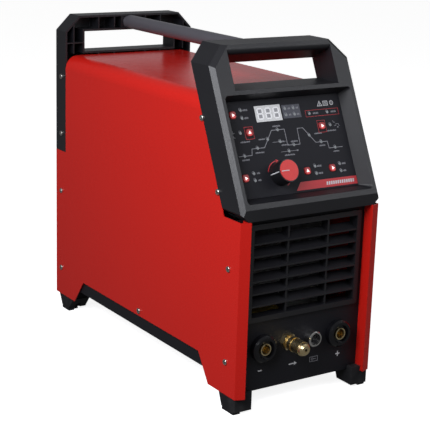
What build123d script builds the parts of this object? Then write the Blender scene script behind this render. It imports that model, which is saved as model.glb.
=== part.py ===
from build123d import *
import os
from math import cos, radians, sin, tan

# TIG welding machine: a red folded cover on a black tray, a black sloped control head in front, a black
# frame behind, a tube between them to carry it by, and the power electronics inside.
# +X is to the right of someone facing the controls, +Y runs to the rear, +Z is up. The origin is on the
# floor, under the middle of the machine's overall box. Sizes are millimetres.

# ---------------------------------------------------------------- driving dimensions
case_width = 220.0
case_length = 502.0
cover_top = 400.0
cover_bottom = 22.6
cover_round = 20.0
sheet = 1.2
plate = 1.5
gap = 0.3

lip_width = 13.0
lip_forward = 5.0
panel_recess = 12.0
panel_bottom = 24.0
notch_height = 38.0
notch_front = (62.0, 87.0)
notch_rear = (90.0, 61.0)

tray_bottom = 41.0
tray_flange = 45.0

slope = 25.2
face_bottom = 271.0
face_ahead = 2.5
head_bottom = 256.0
head_top = 462.0
head_thick = 47.0
head_chamfer = 24.0
head_chin_chamfer = 10.0
head_bevel = 5.5
head_wall = 3.0
grip_margin = 28.0
sill_top = 408.0
grip_slot_top = 200.0
grip_round = 7.0

recess_depth = 18.0
recess_margins = (10.3, 18.5)
recess_mouth = (7.0, 146.0)
recess_floor = (16.5, 142.5)
overlay = 1.8
board_depth = 27.0
board = 1.6

frame_depth = 31.0
frame_bottom = 253.0
frame_top = 458.5
frame_chamfer = 23.0
frame_wall = 3.0
frame_slot_margin = 32.0
frame_slot = (405.0, 435.0)
frame_cross_bottom = 385.0
frame_side = 25.0

tube_r = 10.2
tube_wall = 1.5
tube_z = 446.8
tube_seat = 10.0

foot_widths = (27.6, 30.7)
foot_shoulder = 22.2
pad_height = 4.0
pad_widths = (11.0, 17.5)

screw_r = 2.0
screw_hole_r = 2.25
screw_head_r = 4.0
screw_head = 2.2

gas_reach = 30.0
gland_reach = 26.0
rear_recess = 6.0

# ---------------------------------------------------------------- places worked out from them
half = case_width / 2
rear_reach = gland_reach - rear_recess
front_y = (gas_reach - case_length - rear_reach) / 2
rear_y = front_y + case_length
inner_half = half - sheet
opening_half = half - grip_margin
mouth_half = half - recess_margins[0]
floor_half = half - recess_margins[1]
slot_half = half - frame_slot_margin
panel_y = front_y + panel_recess
rear_panel_y = rear_y - rear_recess
flange_half = inner_half - 1.8
lean = tan(radians(slope))
rise = Vector(0, sin(radians(slope)), cos(radians(slope)))
outward = Vector(0, -cos(radians(slope)), sin(radians(slope)))
face_foot = Vector(0, front_y - face_ahead, face_bottom)


def sloped(depth):
    """A plane parallel to the sloped face, that far behind it: X across, Y up the slope."""
    return Plane(origin=face_foot - outward * depth, x_dir=(1, 0, 0), z_dir=outward)


def on_slope(depth, up):
    """Y and Z of a point so far behind the sloped face and so far up it."""
    spot = face_foot - outward * depth + rise * up
    return (spot.Y, spot.Z)


def front_face_y(height):
    return face_foot.Y + (height - face_bottom) * lean


def back_face_y(height):
    return front_face_y(height) + head_thick


def save(piece, name):
    """Label one finished piece and write it to its own file."""
    piece.part.label = name
    export_step(piece.part, f"parts/{name}.step")


def facing(y):
    """An upright plane across the machine that looks towards the front."""
    return Plane(origin=(0, y, 0), x_dir=(1, 0, 0), z_dir=(0, -1, 0))


def rounded_rectangle(centre, width, height, radius):
    with Locations(centre):
        RectangleRounded(width, height, radius)


def side_outline(points):
    """A face from (y, z) points, drawn on the machine's middle plane."""
    with BuildSketch(Plane.YZ) as outline:
        with BuildLine():
            Polyline(*points, close=True)
        make_face()
    return outline.sketch


def carve_across(points, reach, mode=Mode.SUBTRACT):
    """Extrude a side outline to both sides of the middle."""
    extrude(side_outline(points), amount=reach, both=True, mode=mode)


def drill_sideways(points, radius):
    with BuildSketch(Plane.YZ) as holes:
        with Locations(*points):
            Circle(radius)
    extrude(holes.sketch, amount=case_width, both=True, mode=Mode.SUBTRACT)


def drill_back(y, points, radius, depth):
    """Holes that run rearwards from y at (x, z) points."""
    with BuildSketch(facing(y)) as holes:
        with Locations(*points):
            Circle(radius)
    extrude(holes.sketch, amount=-depth, mode=Mode.SUBTRACT)


def rod(x, z, y0, y1, radius, mode=Mode.ADD):
    """A round bar along Y between y0 and y1."""
    with BuildSketch(facing(y1)) as section:
        with Locations((x, z)):
            Circle(radius)
    extrude(section.sketch, amount=y1 - y0, mode=mode)


def hexagon(x, z, y0, y1, flats, mode=Mode.ADD):
    with BuildSketch(facing(y1)) as section:
        with Locations((x, z)):
            RegularPolygon(flats / 2, 6, major_radius=False)
    extrude(section.sketch, amount=y1 - y0, mode=mode)


def block(x0, x1, y0, y1, z0, z1, mode=Mode.ADD):
    with Locations(((x0 + x1) / 2, (y0 + y1) / 2, (z0 + z1) / 2)):
        Box(x1 - x0, y1 - y0, z1 - z0, mode=mode)


# Side screws, as distance behind the cover's front edge and height above the floor.
rear_row = case_length - 18.0
frame_screws = [(rear_row, 367.0), (rear_row, 280.0)]
rear_screws = [(rear_row, 190.0), (rear_row, 66.0)]
head_screws = [(93.0, 371.0), (52.0, 284.0)]
front_screws = [(23.0, 191.0), (23.0, 67.0)]
tray_screws = [(243.0, 68.0)]


def placed(screws):
    return [(front_y + along, height) for along, height in screws]


all_side_screws = placed(frame_screws + rear_screws + head_screws + front_screws + tray_screws)

# ---------------------------------------------------------------- cover
lip_angle = Vector(lip_width, lip_forward, 0).get_angle(Vector(1, 0, 0))
lip_slant = sheet / cos(radians(lip_angle))
return_x = half - lip_width


def lip_inner_y(x):
    """Y of the bevelled lip's inner surface at that x."""
    return front_y - lip_forward * (half - x) / lip_width + lip_slant


def lip_outline(side):
    points = [
        (half, front_y + 2 * sheet),
        (half, front_y),
        (return_x, front_y - lip_forward),
        (return_x, panel_y - gap),
        (return_x + sheet, panel_y - gap),
        (return_x + sheet, lip_inner_y(return_x + sheet)),
        (inner_half, lip_inner_y(inner_half)),
        (inner_half, front_y + 2 * sheet),
    ]
    return [(side * x, y) for x, y in points]


def arch(width, top, radius):
    """An upright rectangle from the cover's lower edge, with its top corners rounded."""
    with BuildSketch() as outline:
        with Locations((0, cover_bottom)):
            Rectangle(width, top - cover_bottom, align=(Align.CENTER, Align.MIN))
        fillet(outline.vertices().group_by(Axis.Y)[-1], radius)
    return outline.sketch


notch_points = [
    (front_y + notch_front[0], cover_bottom - 1),
    (front_y + notch_front[0], cover_bottom),
    (front_y + notch_front[1], cover_bottom + notch_height),
    (rear_y - notch_rear[0], cover_bottom + notch_height),
    (rear_y - notch_rear[1], cover_bottom),
    (rear_y - notch_rear[1], cover_bottom - 1),
]

with BuildPart() as cover:
    with BuildSketch(facing(rear_y)):
        add(arch(case_width, cover_top, cover_round))
        add(arch(case_width - 2 * sheet, cover_top - sheet, cover_round - sheet), mode=Mode.SUBTRACT)
    extrude(amount=case_length)
    carve_across(
        [
            (front_y - 1, head_bottom - gap),
            (back_face_y(head_bottom) + gap, head_bottom - gap),
            (back_face_y(cover_top + 1) + gap, cover_top + 1),
            (front_y - 1, cover_top + 1),
        ],
        case_width,
    )
    frame_seat = (rear_y - frame_depth - gap, rear_y + 1)
    block(-half, half, *frame_seat, frame_bottom - gap, cover_top + 1, Mode.SUBTRACT)
    with BuildSketch(Plane.XY.offset(cover_bottom)):
        for side in (-1, 1):
            with BuildLine():
                Polyline(*lip_outline(side), close=True)
            make_face()
    extrude(amount=head_bottom - gap - cover_bottom)
    carve_across(notch_points, case_width)
    drill_sideways(all_side_screws, screw_hole_r)
save(cover, "cover")

# ---------------------------------------------------------------- base tray
tray_front = panel_y + plate + gap
tray_rear = rear_panel_y - plate - gap
flange_rear = rear_y - 30.0
foot_bolt_x = half - 16.0
foot_bolt_y = (front_y + 29.0, rear_y - 40.0)
foot_bolts = [(sx * foot_bolt_x, y) for sx in (-1, 1) for y in foot_bolt_y]
tunnel_half = half - 30.0
tunnel_top = 236.0
tunnel_front = front_y + 70.0
tunnel_rear = rear_y - 62.0

with BuildPart() as base_tray:
    block(-flange_half, flange_half, tray_front, tray_rear, tray_bottom, tray_bottom + plate)
    for side in (-1, 1):
        inner_x, outer_x = sorted((side * (flange_half - plate), side * flange_half))
        block(inner_x, outer_x, tray_front, flange_rear, tray_bottom, tray_bottom + tray_flange)
    block(-flange_half, flange_half, tray_front, tray_front + plate, tray_bottom, tray_bottom + 16)
    with Locations((0, (front_y + rear_y) / 2, tray_bottom + plate / 2)):
        with GridLocations(0, 26, 1, 11):
            Box(110, 6, 2 * plate, mode=Mode.SUBTRACT)
    with Locations(*[(x, y, tray_bottom + plate) for x, y in foot_bolts]):
        Hole(screw_hole_r + 0.5, 2 * plate)
    drill_sideways(placed(tray_screws + front_screws), screw_hole_r)
save(base_tray, "base_tray")

# ---------------------------------------------------------------- feet
# Feet, as distance behind the cover's front edge and, for the rear pair, ahead of its rear edge.
front_foot_side = [(0.8, foot_shoulder), (0.8, pad_height), (31.6, pad_height), (38.5, foot_shoulder)]
rear_foot_side = [(-53.6, foot_shoulder), (-39.2, pad_height), (-17.0, pad_height), (-7.0, foot_shoulder)]
front_pad = (4.3, 30.0)
rear_pad = (-39.2, -17.7)
front_neck = (panel_recess + 2.4, 37.0)
rear_neck = (-52.0, -31.0)
lug_top = 29.4
foot_outer = half - sheet - 0.4
neck_outer = flange_half - plate - 0.4
foot_well = 14.0
well_r = screw_head_r + 1.5


def make_feet(edge, outline, width, pad, pad_width, neck, bolt_y):
    """A pair of rubber feet: sloping body, neck up to the tray and a strip on the floor at the outer side."""
    foot_inner = half - width
    with BuildPart() as pair:
        for side in (-1, 1):
            with BuildSketch(Plane.YZ.offset(side * (foot_inner + foot_outer) / 2)) as body:
                with BuildLine():
                    Polyline(*[(edge + y, z) for y, z in outline], close=True)
                make_face()
            extrude(body.sketch, amount=(foot_outer - foot_inner) / 2, both=True)
            neck_x = sorted((side * foot_inner, side * neck_outer))
            block(*neck_x, edge + neck[0], edge + neck[1], foot_shoulder, tray_bottom)
            pad_x = sorted((side * (foot_outer - pad_width), side * foot_outer))
            block(*pad_x, edge + pad[0], edge + pad[1], 0, pad_height)
            with Locations((side * foot_bolt_x, bolt_y, (pad_height + foot_well) / 2)):
                Cylinder(well_r, pad_height + foot_well, mode=Mode.SUBTRACT)
            with Locations((side * foot_bolt_x, bolt_y, tray_bottom / 2)):
                Cylinder(screw_hole_r + 0.5, tray_bottom + 1, mode=Mode.SUBTRACT)
    return pair


front_feet = make_feet(
    front_y, front_foot_side, foot_widths[0], front_pad, pad_widths[0], front_neck, foot_bolt_y[0]
)
with front_feet:
    for side in (-1, 1):
        lug_x = sorted((side * (half - foot_widths[0]), side * (return_x - gap)))
        block(*lug_x, front_y + 0.8, panel_y - gap, foot_shoulder, lug_top)
save(front_feet, "front_feet")
rear_feet = make_feet(
    rear_y, rear_foot_side, foot_widths[1], rear_pad, pad_widths[1], rear_neck, foot_bolt_y[1]
)
save(rear_feet, "rear_feet")

with BuildPart() as foot_screws:
    with Locations(*[(x, y, pad_height + foot_well) for x, y in foot_bolts]):
        Cylinder(screw_head_r + 1, 3, align=(Align.CENTER, Align.CENTER, Align.MAX))
        Cylinder(screw_r + 0.5, tray_bottom - foot_well, align=(Align.CENTER, Align.CENTER, Align.MIN))
save(foot_screws, "foot_screws")

# ---------------------------------------------------------------- front panel and grille
grille_half = half - 20.5
grille_z = (118.5, 248.0)
grille_lap = 3.0
grille_border = 7.0
grille_ribs = (-27.0, 37.0)
slat_count = 6
grille_mid = sum(grille_z) / 2
grille_tall = grille_z[1] - grille_z[0]
socket_x = 61.0
socket_z = 81.0
socket_body_r = 14.5
gas_x, gas_z = -22.0, 84.0
gas_thread_r = 5.0
torch_x, torch_z = 17.0, 82.0
torch_body_r = 8.9
panel_flange_half = inner_half - 0.4

with BuildPart() as front_panel:
    block(-panel_flange_half, panel_flange_half, panel_y, panel_y + plate, panel_bottom, head_bottom - gap)
    for side in (-1, 1):
        flange_x = sorted((side * (panel_flange_half - sheet), side * panel_flange_half))
        block(*flange_x, panel_y, panel_y + 22, panel_bottom + 2, head_bottom - gap)
    with BuildSketch(facing(panel_y + plate)):
        with Locations((0, grille_mid)):
            Rectangle(2 * (grille_half - grille_lap), grille_tall - 2 * grille_lap)
        with Locations((-socket_x, socket_z), (socket_x, socket_z)):
            Circle(socket_body_r + gap)
        with Locations((gas_x, gas_z)):
            Circle(gas_thread_r + gap)
        with Locations((torch_x, torch_z)):
            Circle(torch_body_r + gap)
    extrude(amount=2 * plate, mode=Mode.SUBTRACT)
    drill_sideways(placed(front_screws), screw_hole_r)
save(front_panel, "front_panel")

grille_front = panel_y - 4.0
grille_hole_half = grille_half - grille_lap - gap
grille_body_tall = grille_tall - 2 * (grille_lap + gap)
grille_open_half = grille_half - grille_border
grille_open_tall = grille_tall - 2 * grille_border
slat_pitch = grille_open_tall / (slat_count + 1)
slat_depth = 13.0
slat_drop = 7.0
slat_thick = 2.0

with BuildPart() as louvre_grille:
    with BuildSketch(facing(panel_y)):
        with Locations((0, grille_mid)):
            RectangleRounded(2 * grille_half, grille_tall, 3)
            Rectangle(2 * grille_open_half, grille_open_tall, mode=Mode.SUBTRACT)
    extrude(amount=panel_y - grille_front)
    with BuildSketch(facing(panel_y + 12)):
        with Locations((0, grille_mid)):
            Rectangle(2 * grille_hole_half, grille_body_tall)
            Rectangle(2 * grille_open_half, grille_open_tall, mode=Mode.SUBTRACT)
    extrude(amount=12)
    slat_top = grille_mid + grille_open_tall / 2
    for row in range(1, slat_count + 1):
        z = slat_top - row * slat_pitch
        blade = [
            (grille_front + 0.5, z - slat_drop / 2),
            (grille_front + 0.5, z - slat_drop / 2 + slat_thick),
            (grille_front + slat_depth, z + slat_drop / 2 + slat_thick),
            (grille_front + slat_depth, z + slat_drop / 2),
        ]
        carve_across(blade, grille_open_half, Mode.ADD)
    for x in grille_ribs:
        block(x - 1.5, x + 1.5, grille_front + 3, panel_y + 12, slat_top - grille_open_tall, slat_top)
save(louvre_grille, "louvre_grille")

# ---------------------------------------------------------------- front bezel with its grip
round_start = on_slope(0, grip_slot_top + grip_round)
round_inset = grip_round * (1 - cos(radians(45)))
round_middle = on_slope(round_inset, grip_slot_top + round_inset)
round_end = on_slope(grip_round, grip_slot_top)
pocket_plane = recess_depth + overlay + head_wall - 1.0
wall_y = back_face_y(cover_top) - 4.0
tongue_z = cover_top - sheet - 0.4
tongue = 3.0
tube_front = back_face_y(tube_z) - tube_seat
boss_spots = [(sx * (half - 12), up) for sx in (-1, 1) for up in (24.0, 134.0)]

with BuildPart() as front_bezel:
    carve_across(
        [
            (face_foot.Y, head_bottom),
            (face_foot.Y, face_bottom),
            (front_face_y(head_top), head_top),
            (back_face_y(head_top), head_top),
            (back_face_y(head_bottom), head_bottom),
        ],
        half,
        Mode.ADD,
    )
    with BuildSketch(facing(rear_y)):
        with BuildLine():
            Polyline(
                (half - head_chin_chamfer, head_bottom),
                (half, head_bottom + head_chin_chamfer),
                (half, head_top - head_chamfer),
                (half - head_chamfer, head_top),
                (head_chamfer - half, head_top),
                (-half, head_top - head_chamfer),
                (-half, head_bottom + head_chin_chamfer),
                (head_chin_chamfer - half, head_bottom),
                close=True,
            )
        make_face()
    extrude(amount=2 * case_length, mode=Mode.INTERSECT)
    face = front_bezel.faces().sort_by(Axis(face_foot, outward))[-1]
    rim_edges = [edge for edge in face.edges() if abs(edge.center().X) > half / 2]
    chamfer(rim_edges, head_bevel)
    with BuildSketch(sloped(0)):
        low, high = recess_mouth
        rounded_rectangle((0, (low + high) / 2), 2 * mouth_half, high - low, 5)
    with BuildSketch(sloped(recess_depth)):
        low, high = recess_floor
        rounded_rectangle((0, (low + high) / 2), 2 * floor_half, high - low, 1.5)
    loft(mode=Mode.SUBTRACT)
    with BuildSketch(sloped(recess_depth + overlay)):
        rounded_rectangle((0, (low + high) / 2), 2 * floor_half, high - low, 1.5)
    extrude(amount=overlay + 0.01, mode=Mode.SUBTRACT)
    with BuildSketch(sloped(recess_depth + overlay + 10)):
        with Locations((0, (low + high) / 2)):
            Rectangle(2 * floor_half - 5, high - low - 5)
    extrude(amount=10.01, mode=Mode.SUBTRACT)
    with BuildSketch(Plane.YZ):
        with BuildLine():
            Polyline(
                round_start,
                on_slope(-8, grip_slot_top + grip_round),
                (front_face_y(sill_top) - 10, sill_top),
                (back_face_y(sill_top) + 15, sill_top),
                on_slope(70, grip_slot_top),
                round_end,
            )
            ThreePointArc(round_end, round_middle, round_start)
        make_face()
    extrude(amount=opening_half, both=True, mode=Mode.SUBTRACT)
    carve_across(
        [
            on_slope(pocket_plane, -4.0),
            on_slope(pocket_plane, (sill_top - head_wall - face_bottom + pocket_plane * outward.Z) / rise.Z),
            (wall_y, sill_top - head_wall),
            (wall_y, tongue_z - tongue),
            (wall_y + 60, tongue_z - tongue),
            (wall_y + 60, head_bottom + head_wall),
            (face_foot.Y + 24, head_bottom + head_wall),
        ],
        half - head_wall,
    )
    block(-opening_half, opening_half, wall_y - 1, wall_y + 16, tongue_z - tongue, tongue_z)
    for side in (-1, 1):
        ear = [
            (back_face_y(head_bottom + 12) - 5, head_bottom + 12),
            (back_face_y(head_bottom + 12) + 12, head_bottom + 12),
            (back_face_y(378) + 12, 378),
            (back_face_y(378) - 5, 378),
        ]
        ear_x = sorted((side * (half - head_wall - 2), side * (inner_half - gap)))
        with BuildSketch(Plane.YZ.offset(ear_x[0])):
            with BuildLine():
                Polyline(*ear, close=True)
            make_face()
        extrude(amount=ear_x[1] - ear_x[0])
        with BuildSketch(sloped(head_thick + 20)):
            with Locations((side * (half - 14), 180)):
                Rectangle(19, 15)
        extrude(amount=head_thick + 14, mode=Mode.SUBTRACT)
        with BuildSketch(Plane.YZ.offset(side * 46)):
            with BuildLine():
                Polyline(
                    on_slope(14, grip_slot_top + head_wall),
                    on_slope(64, grip_slot_top + head_wall),
                    (on_slope(64, 0)[0] + 90, head_top - head_wall),
                    (on_slope(14, grip_slot_top + head_wall)[0] + 3, head_top - head_wall),
                    close=True,
                )
            make_face()
        extrude(amount=31, both=True, mode=Mode.SUBTRACT)
    with BuildSketch(sloped(board_depth)):
        with Locations(*boss_spots):
            Circle(4)
    extrude(amount=board_depth - pocket_plane + 0.5)
    rod(0, tube_z, tube_front, rear_y, tube_r + 0.15, Mode.SUBTRACT)
    drill_sideways(placed(head_screws), screw_r)
save(front_bezel, "front_bezel")

# ---------------------------------------------------------------- rear frame
frame_front = rear_y - frame_depth


def frame_outline(inset):
    with BuildLine() as outline:
        Polyline(
            (half - inset, frame_bottom),
            (half - inset, frame_top - frame_chamfer - inset * 0.4),
            (half - frame_chamfer - inset * 0.4, frame_top - inset),
            (-half + frame_chamfer + inset * 0.4, frame_top - inset),
            (-half + inset, frame_top - frame_chamfer - inset * 0.4),
            (-half + inset, frame_bottom),
            close=True,
        )
    return outline.wires()[0]


slot_mid = (frame_slot[0] + frame_slot[1]) / 2
slot_tall = frame_slot[1] - frame_slot[0]
with BuildPart() as rear_frame:
    with BuildSketch(facing(rear_y)):
        make_face(frame_outline(0))
        with Locations((0, slot_mid)):
            Rectangle(2 * slot_half, slot_tall, mode=Mode.SUBTRACT)
        with Locations((0, frame_bottom)):
            Rectangle(
                2 * (half - frame_side),
                frame_cross_bottom - frame_bottom,
                align=(Align.CENTER, Align.MIN),
                mode=Mode.SUBTRACT,
            )
    extrude(amount=frame_depth)
    with BuildSketch(facing(rear_y - frame_wall)):
        make_face(frame_outline(frame_wall))
        with Locations((0, slot_mid)):
            Rectangle(2 * (slot_half + frame_wall), slot_tall + 2 * frame_wall, mode=Mode.SUBTRACT)
        with Locations((0, frame_bottom)):
            Rectangle(
                2 * (half - frame_side),
                frame_cross_bottom + frame_wall - frame_bottom,
                align=(Align.CENTER, Align.MIN),
                mode=Mode.SUBTRACT,
            )
        for x in (-54, -27, 27, 54):
            with Locations((x, frame_top)):
                Rectangle(1.6, 80, align=(Align.CENTER, Align.MAX), mode=Mode.SUBTRACT)
        for x in (-96, 96):
            with Locations((x, frame_top)):
                Rectangle(1.6, frame_top - cover_top - 2, align=(Align.CENTER, Align.MAX), mode=Mode.SUBTRACT)
        for x in (-(half + slot_half) / 2, (half + slot_half) / 2):
            with Locations((x, 418)):
                Rectangle(half - slot_half, 1.6, mode=Mode.SUBTRACT)
    extrude(amount=frame_depth, mode=Mode.SUBTRACT)
    block(-14, 14, frame_front + 3, rear_y - 1, frame_slot[1], frame_top)
    rod(0, tube_z, frame_front - 1, rear_y - 5, tube_r + 0.15, Mode.SUBTRACT)
    drill_sideways(placed(frame_screws), screw_r)
save(rear_frame, "rear_frame")

# ---------------------------------------------------------------- carry tube and its screws
tube_rear = rear_y - 5.5
with BuildPart() as carry_tube:
    rod(0, tube_z, tube_front + 0.5, tube_rear, tube_r)
    rod(0, tube_z, tube_front + 0.5, tube_rear, tube_r - tube_wall, Mode.SUBTRACT)
save(carry_tube, "carry_tube")

# ---------------------------------------------------------------- rear panel and what it carries
fan_size = 120.0
fan_depth = 38.0
fan_z = 165.0
bolt_reach = fan_size / 2 - 7.5
fan_bolts = [(sx * bolt_reach, fan_z + sz * bolt_reach) for sx in (-1, 1) for sz in (-1, 1)]
switch_x, switch_z = -55.0, 318.0
gland_x, gland_z = 58.0, 318.0
gland_r = 10.0
inlet_x, inlet_z = 16.0 - half, 84.0
inlet_r = 5.0
stud_x, stud_z = half - 26.0, 70.0
rear_flange_half = flange_half - 0.3

with BuildPart() as rear_panel:
    block(
        -rear_flange_half, rear_flange_half, rear_panel_y - plate, rear_panel_y,
        panel_bottom, frame_cross_bottom - gap,
    )
    for side in (-1, 1):
        flange_x = sorted((side * (rear_flange_half - plate), side * rear_flange_half))
        block(*flange_x, rear_panel_y - 22, rear_panel_y, tray_bottom + 3, frame_cross_bottom - gap)
    with BuildSketch(facing(rear_panel_y)):
        with Locations((0, fan_z)):
            Circle(fan_size / 2 - 3)
        with Locations(*fan_bolts):
            Circle(screw_hole_r)
        with Locations((switch_x, switch_z)):
            Rectangle(32, 46)
        with Locations((gland_x, gland_z)):
            Circle(gland_r + gap)
        with Locations((inlet_x, inlet_z)):
            Circle(inlet_r + gap)
        with Locations((stud_x, stud_z)):
            Circle(4 + gap)
    extrude(amount=plate, mode=Mode.SUBTRACT)
    drill_sideways(placed(frame_screws + rear_screws), screw_r)
save(rear_panel, "rear_panel")

fan_rear = rear_panel_y - plate
fan_front = fan_rear - fan_depth
fan_bore = fan_size / 2 - 3
hub_r = 20.0
blade_count = 7
blade_twist = 42.0
with BuildPart() as fan_frame:
    with BuildSketch(facing(fan_rear)):
        with Locations((0, fan_z)):
            RectangleRounded(fan_size, fan_size, 8)
            Circle(fan_bore, mode=Mode.SUBTRACT)
        with Locations(*fan_bolts):
            Circle(screw_hole_r, mode=Mode.SUBTRACT)
    extrude(amount=fan_depth)
    with BuildSketch(facing(fan_front + 5)):
        with Locations((0, fan_z)):
            Circle(hub_r)
            for turn in (45, 135):
                Rectangle(2 * fan_bore + 4, 5, rotation=turn)
    extrude(amount=5)
    rod(0, fan_z, fan_front + 5, fan_front + 26, 4)
save(fan_frame, "fan_frame")

with BuildPart() as fan_impeller:
    rod(0, fan_z, fan_front + 6, fan_rear - 3, hub_r)
    rod(0, fan_z, fan_front + 5, fan_front + 26.5, 4.05, Mode.SUBTRACT)
    middle = Vector(0, (fan_front + fan_rear) / 2 + 1, fan_z)
    for number in range(blade_count):
        spoke = Vector(1, 0, 0).rotate(Axis.Y, number * 360 / blade_count)
        chord = Vector(0, 1, 0).rotate(Axis((0, 0, 0), spoke), blade_twist)
        with BuildSketch(Plane(origin=middle + spoke * (hub_r - 1), x_dir=chord, z_dir=spoke)):
            Rectangle(26, 2.2)
        with BuildSketch(Plane(origin=middle + spoke * (fan_bore - 2), x_dir=chord, z_dir=spoke)):
            Rectangle(26, 1.4)
        loft()
save(fan_impeller, "fan_impeller")

guard_rings = (16, 28, 40, 52)
with BuildPart() as fan_guard:
    guard_plane = facing(rear_panel_y + 2.2)
    for radius in guard_rings:
        with BuildSketch(facing(rear_panel_y + 2.8)):
            with Locations((0, fan_z)):
                Circle(radius + 1)
                Circle(radius - 1, mode=Mode.SUBTRACT)
        extrude(amount=1.4)
    with BuildSketch(guard_plane):
        with Locations((0, fan_z)):
            for turn in (45, 135):
                Rectangle(148, 2.2, rotation=turn)
        with Locations(*fan_bolts):
            Circle(4)
        with Locations(*fan_bolts):
            Circle(screw_hole_r, mode=Mode.SUBTRACT)
    extrude(amount=2.2)
save(fan_guard, "fan_guard")

with BuildPart() as fan_screws:
    for x, z in fan_bolts:
        rod(x, z, rear_panel_y + 2.2, rear_panel_y + 2.2 + screw_head, screw_head_r - 0.5)
        rod(x, z, rear_panel_y - 14, rear_panel_y + 2.2, screw_r)
save(fan_screws, "fan_screws")

lever_r = 9.0
lever_swing = 26.0
with BuildPart() as mains_switch_body:
    case_x = (switch_x - 15.7, switch_x + 15.7)
    block(*case_x, rear_panel_y - 52, rear_panel_y + 3, switch_z - 22.7, switch_z + 22.7)
    block(switch_x - 19, switch_x + 19, rear_panel_y, rear_panel_y + 3, switch_z - 27, switch_z + 27)
    with BuildSketch(Plane.YZ.offset(switch_x)):
        with Locations((rear_panel_y - 3, switch_z)):
            Circle(lever_r + 0.6)
    extrude(amount=6.6, both=True, mode=Mode.SUBTRACT)
    slot_x = (switch_x - 6.6, switch_x + 6.6)
    block(*slot_x, rear_panel_y - 3, rear_panel_y + 4, switch_z - 12, switch_z + 12, Mode.SUBTRACT)
save(mains_switch_body, "mains_switch_body")

with BuildPart() as mains_switch_lever:
    with BuildSketch(Plane.YZ.offset(switch_x)):
        with Locations((rear_panel_y - 3, switch_z)):
            Circle(lever_r)
    extrude(amount=6, both=True)
    pivot = Vector(switch_x, rear_panel_y - 3, switch_z)
    pointing = Vector(0, cos(radians(lever_swing / 2)), -sin(radians(lever_swing / 2)))
    with BuildSketch(Plane(origin=pivot + pointing * 4, x_dir=(1, 0, 0), z_dir=pointing)):
        Rectangle(12, 7)
    with BuildSketch(Plane(origin=pivot + pointing * 19, x_dir=(1, 0, 0), z_dir=pointing)):
        Rectangle(12, 4)
    loft()
save(mains_switch_lever, "mains_switch_lever")

with BuildPart() as cable_gland:
    hexagon(gland_x, gland_z, rear_panel_y, rear_panel_y + 6, 25)
    rod(gland_x, gland_z, rear_panel_y - 12, rear_panel_y + 2, gland_r)
    rod(gland_x, gland_z, rear_panel_y + 6, rear_panel_y + 9, 10.5)
    hexagon(gland_x, gland_z, rear_panel_y + 9, rear_panel_y + 19, 24)
    with BuildSketch(facing(rear_panel_y + 19)):
        with Locations((gland_x, gland_z)):
            Circle(11)
    with BuildSketch(facing(rear_panel_y + gland_reach)):
        with Locations((gland_x, gland_z)):
            Circle(7.5)
    loft()
    rod(gland_x, gland_z, rear_panel_y - 20, rear_panel_y + 30, 5, Mode.SUBTRACT)
save(cable_gland, "cable_gland")

with BuildPart() as gland_nut:
    hexagon(gland_x, gland_z, rear_panel_y - plate - 5, rear_panel_y - plate, 27)
    rod(gland_x, gland_z, rear_panel_y - plate - 5, rear_panel_y - plate, gland_r, Mode.SUBTRACT)
save(gland_nut, "gland_nut")


def barbed_nipple(x, z, root, direction, count):
    """Hose barbs from root, pointing along Y in the given direction."""
    for number in range(count):
        start = root + direction * number * 5.0
        tip = start + direction * 5.0
        with BuildSketch(Plane(origin=(x, start, z), x_dir=(1, 0, 0), z_dir=(0, direction, 0))) as wide:
            Circle(4.6)
        with BuildSketch(Plane(origin=(x, tip, z), x_dir=(1, 0, 0), z_dir=(0, direction, 0))) as narrow:
            Circle(3.6)
        loft([wide.sketch, narrow.sketch])


with BuildPart() as gas_inlet:
    hexagon(inlet_x, inlet_z, rear_panel_y, rear_panel_y + 5, 14)
    rod(inlet_x, inlet_z, rear_panel_y - 14, rear_panel_y + 5, inlet_r)
    barbed_nipple(inlet_x, inlet_z, rear_panel_y + 5, 1, 4)
    rod(inlet_x, inlet_z, rear_panel_y - 15, rear_panel_y + 30, 2, Mode.SUBTRACT)
save(gas_inlet, "gas_inlet")

with BuildPart() as earth_stud:
    rod(stud_x, stud_z, rear_panel_y - 12, rear_panel_y + 15, 4)
    hexagon(stud_x, stud_z, rear_panel_y, rear_panel_y + 6, 13)
save(earth_stud, "earth_stud")

# ---------------------------------------------------------------- front sockets and connectors
collar_r = 18.5
collar_face = front_y + 2.0
collar_well = 12.5
insert_r = 8.0
socket_bore = 6.5
socket_rear = front_y + 46.0


socket_spots = (-socket_x, socket_x)
with BuildPart() as socket_collars:
    for x in socket_spots:
        rod(x, socket_z, collar_face, panel_y, collar_r)
    chamfer(socket_collars.edges().filter_by(GeomType.CIRCLE).group_by(Axis.Y)[0], 2.5)
    for x in socket_spots:
        rod(x, socket_z, panel_y, panel_y + 22, socket_body_r)
        rod(x, socket_z, collar_face - 1, collar_face + 5, collar_well, Mode.SUBTRACT)
        rod(x, socket_z, collar_face, panel_y + 23, insert_r + 0.05, Mode.SUBTRACT)
save(socket_collars, "socket_collars")

# Brass sockets: a plain bore with the key slot at its top.
with BuildPart() as socket_inserts:
    for x in socket_spots:
        rod(x, socket_z, front_y + 3, socket_rear, insert_r)
        rod(x, socket_z, front_y + 2, front_y + 33, socket_bore, Mode.SUBTRACT)
        key_x = (x - 1.9, x + 1.9)
        block(*key_x, front_y + 2, front_y + 12, socket_z, socket_z + socket_bore + 0.8, Mode.SUBTRACT)
save(socket_inserts, "socket_inserts")

with BuildPart() as socket_nuts:
    for x in socket_spots:
        hexagon(x, socket_z, panel_y + plate, panel_y + plate + 6, 36)
        rod(x, socket_z, panel_y + plate, panel_y + plate + 6, socket_body_r, Mode.SUBTRACT)
save(socket_nuts, "socket_nuts")

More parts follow.
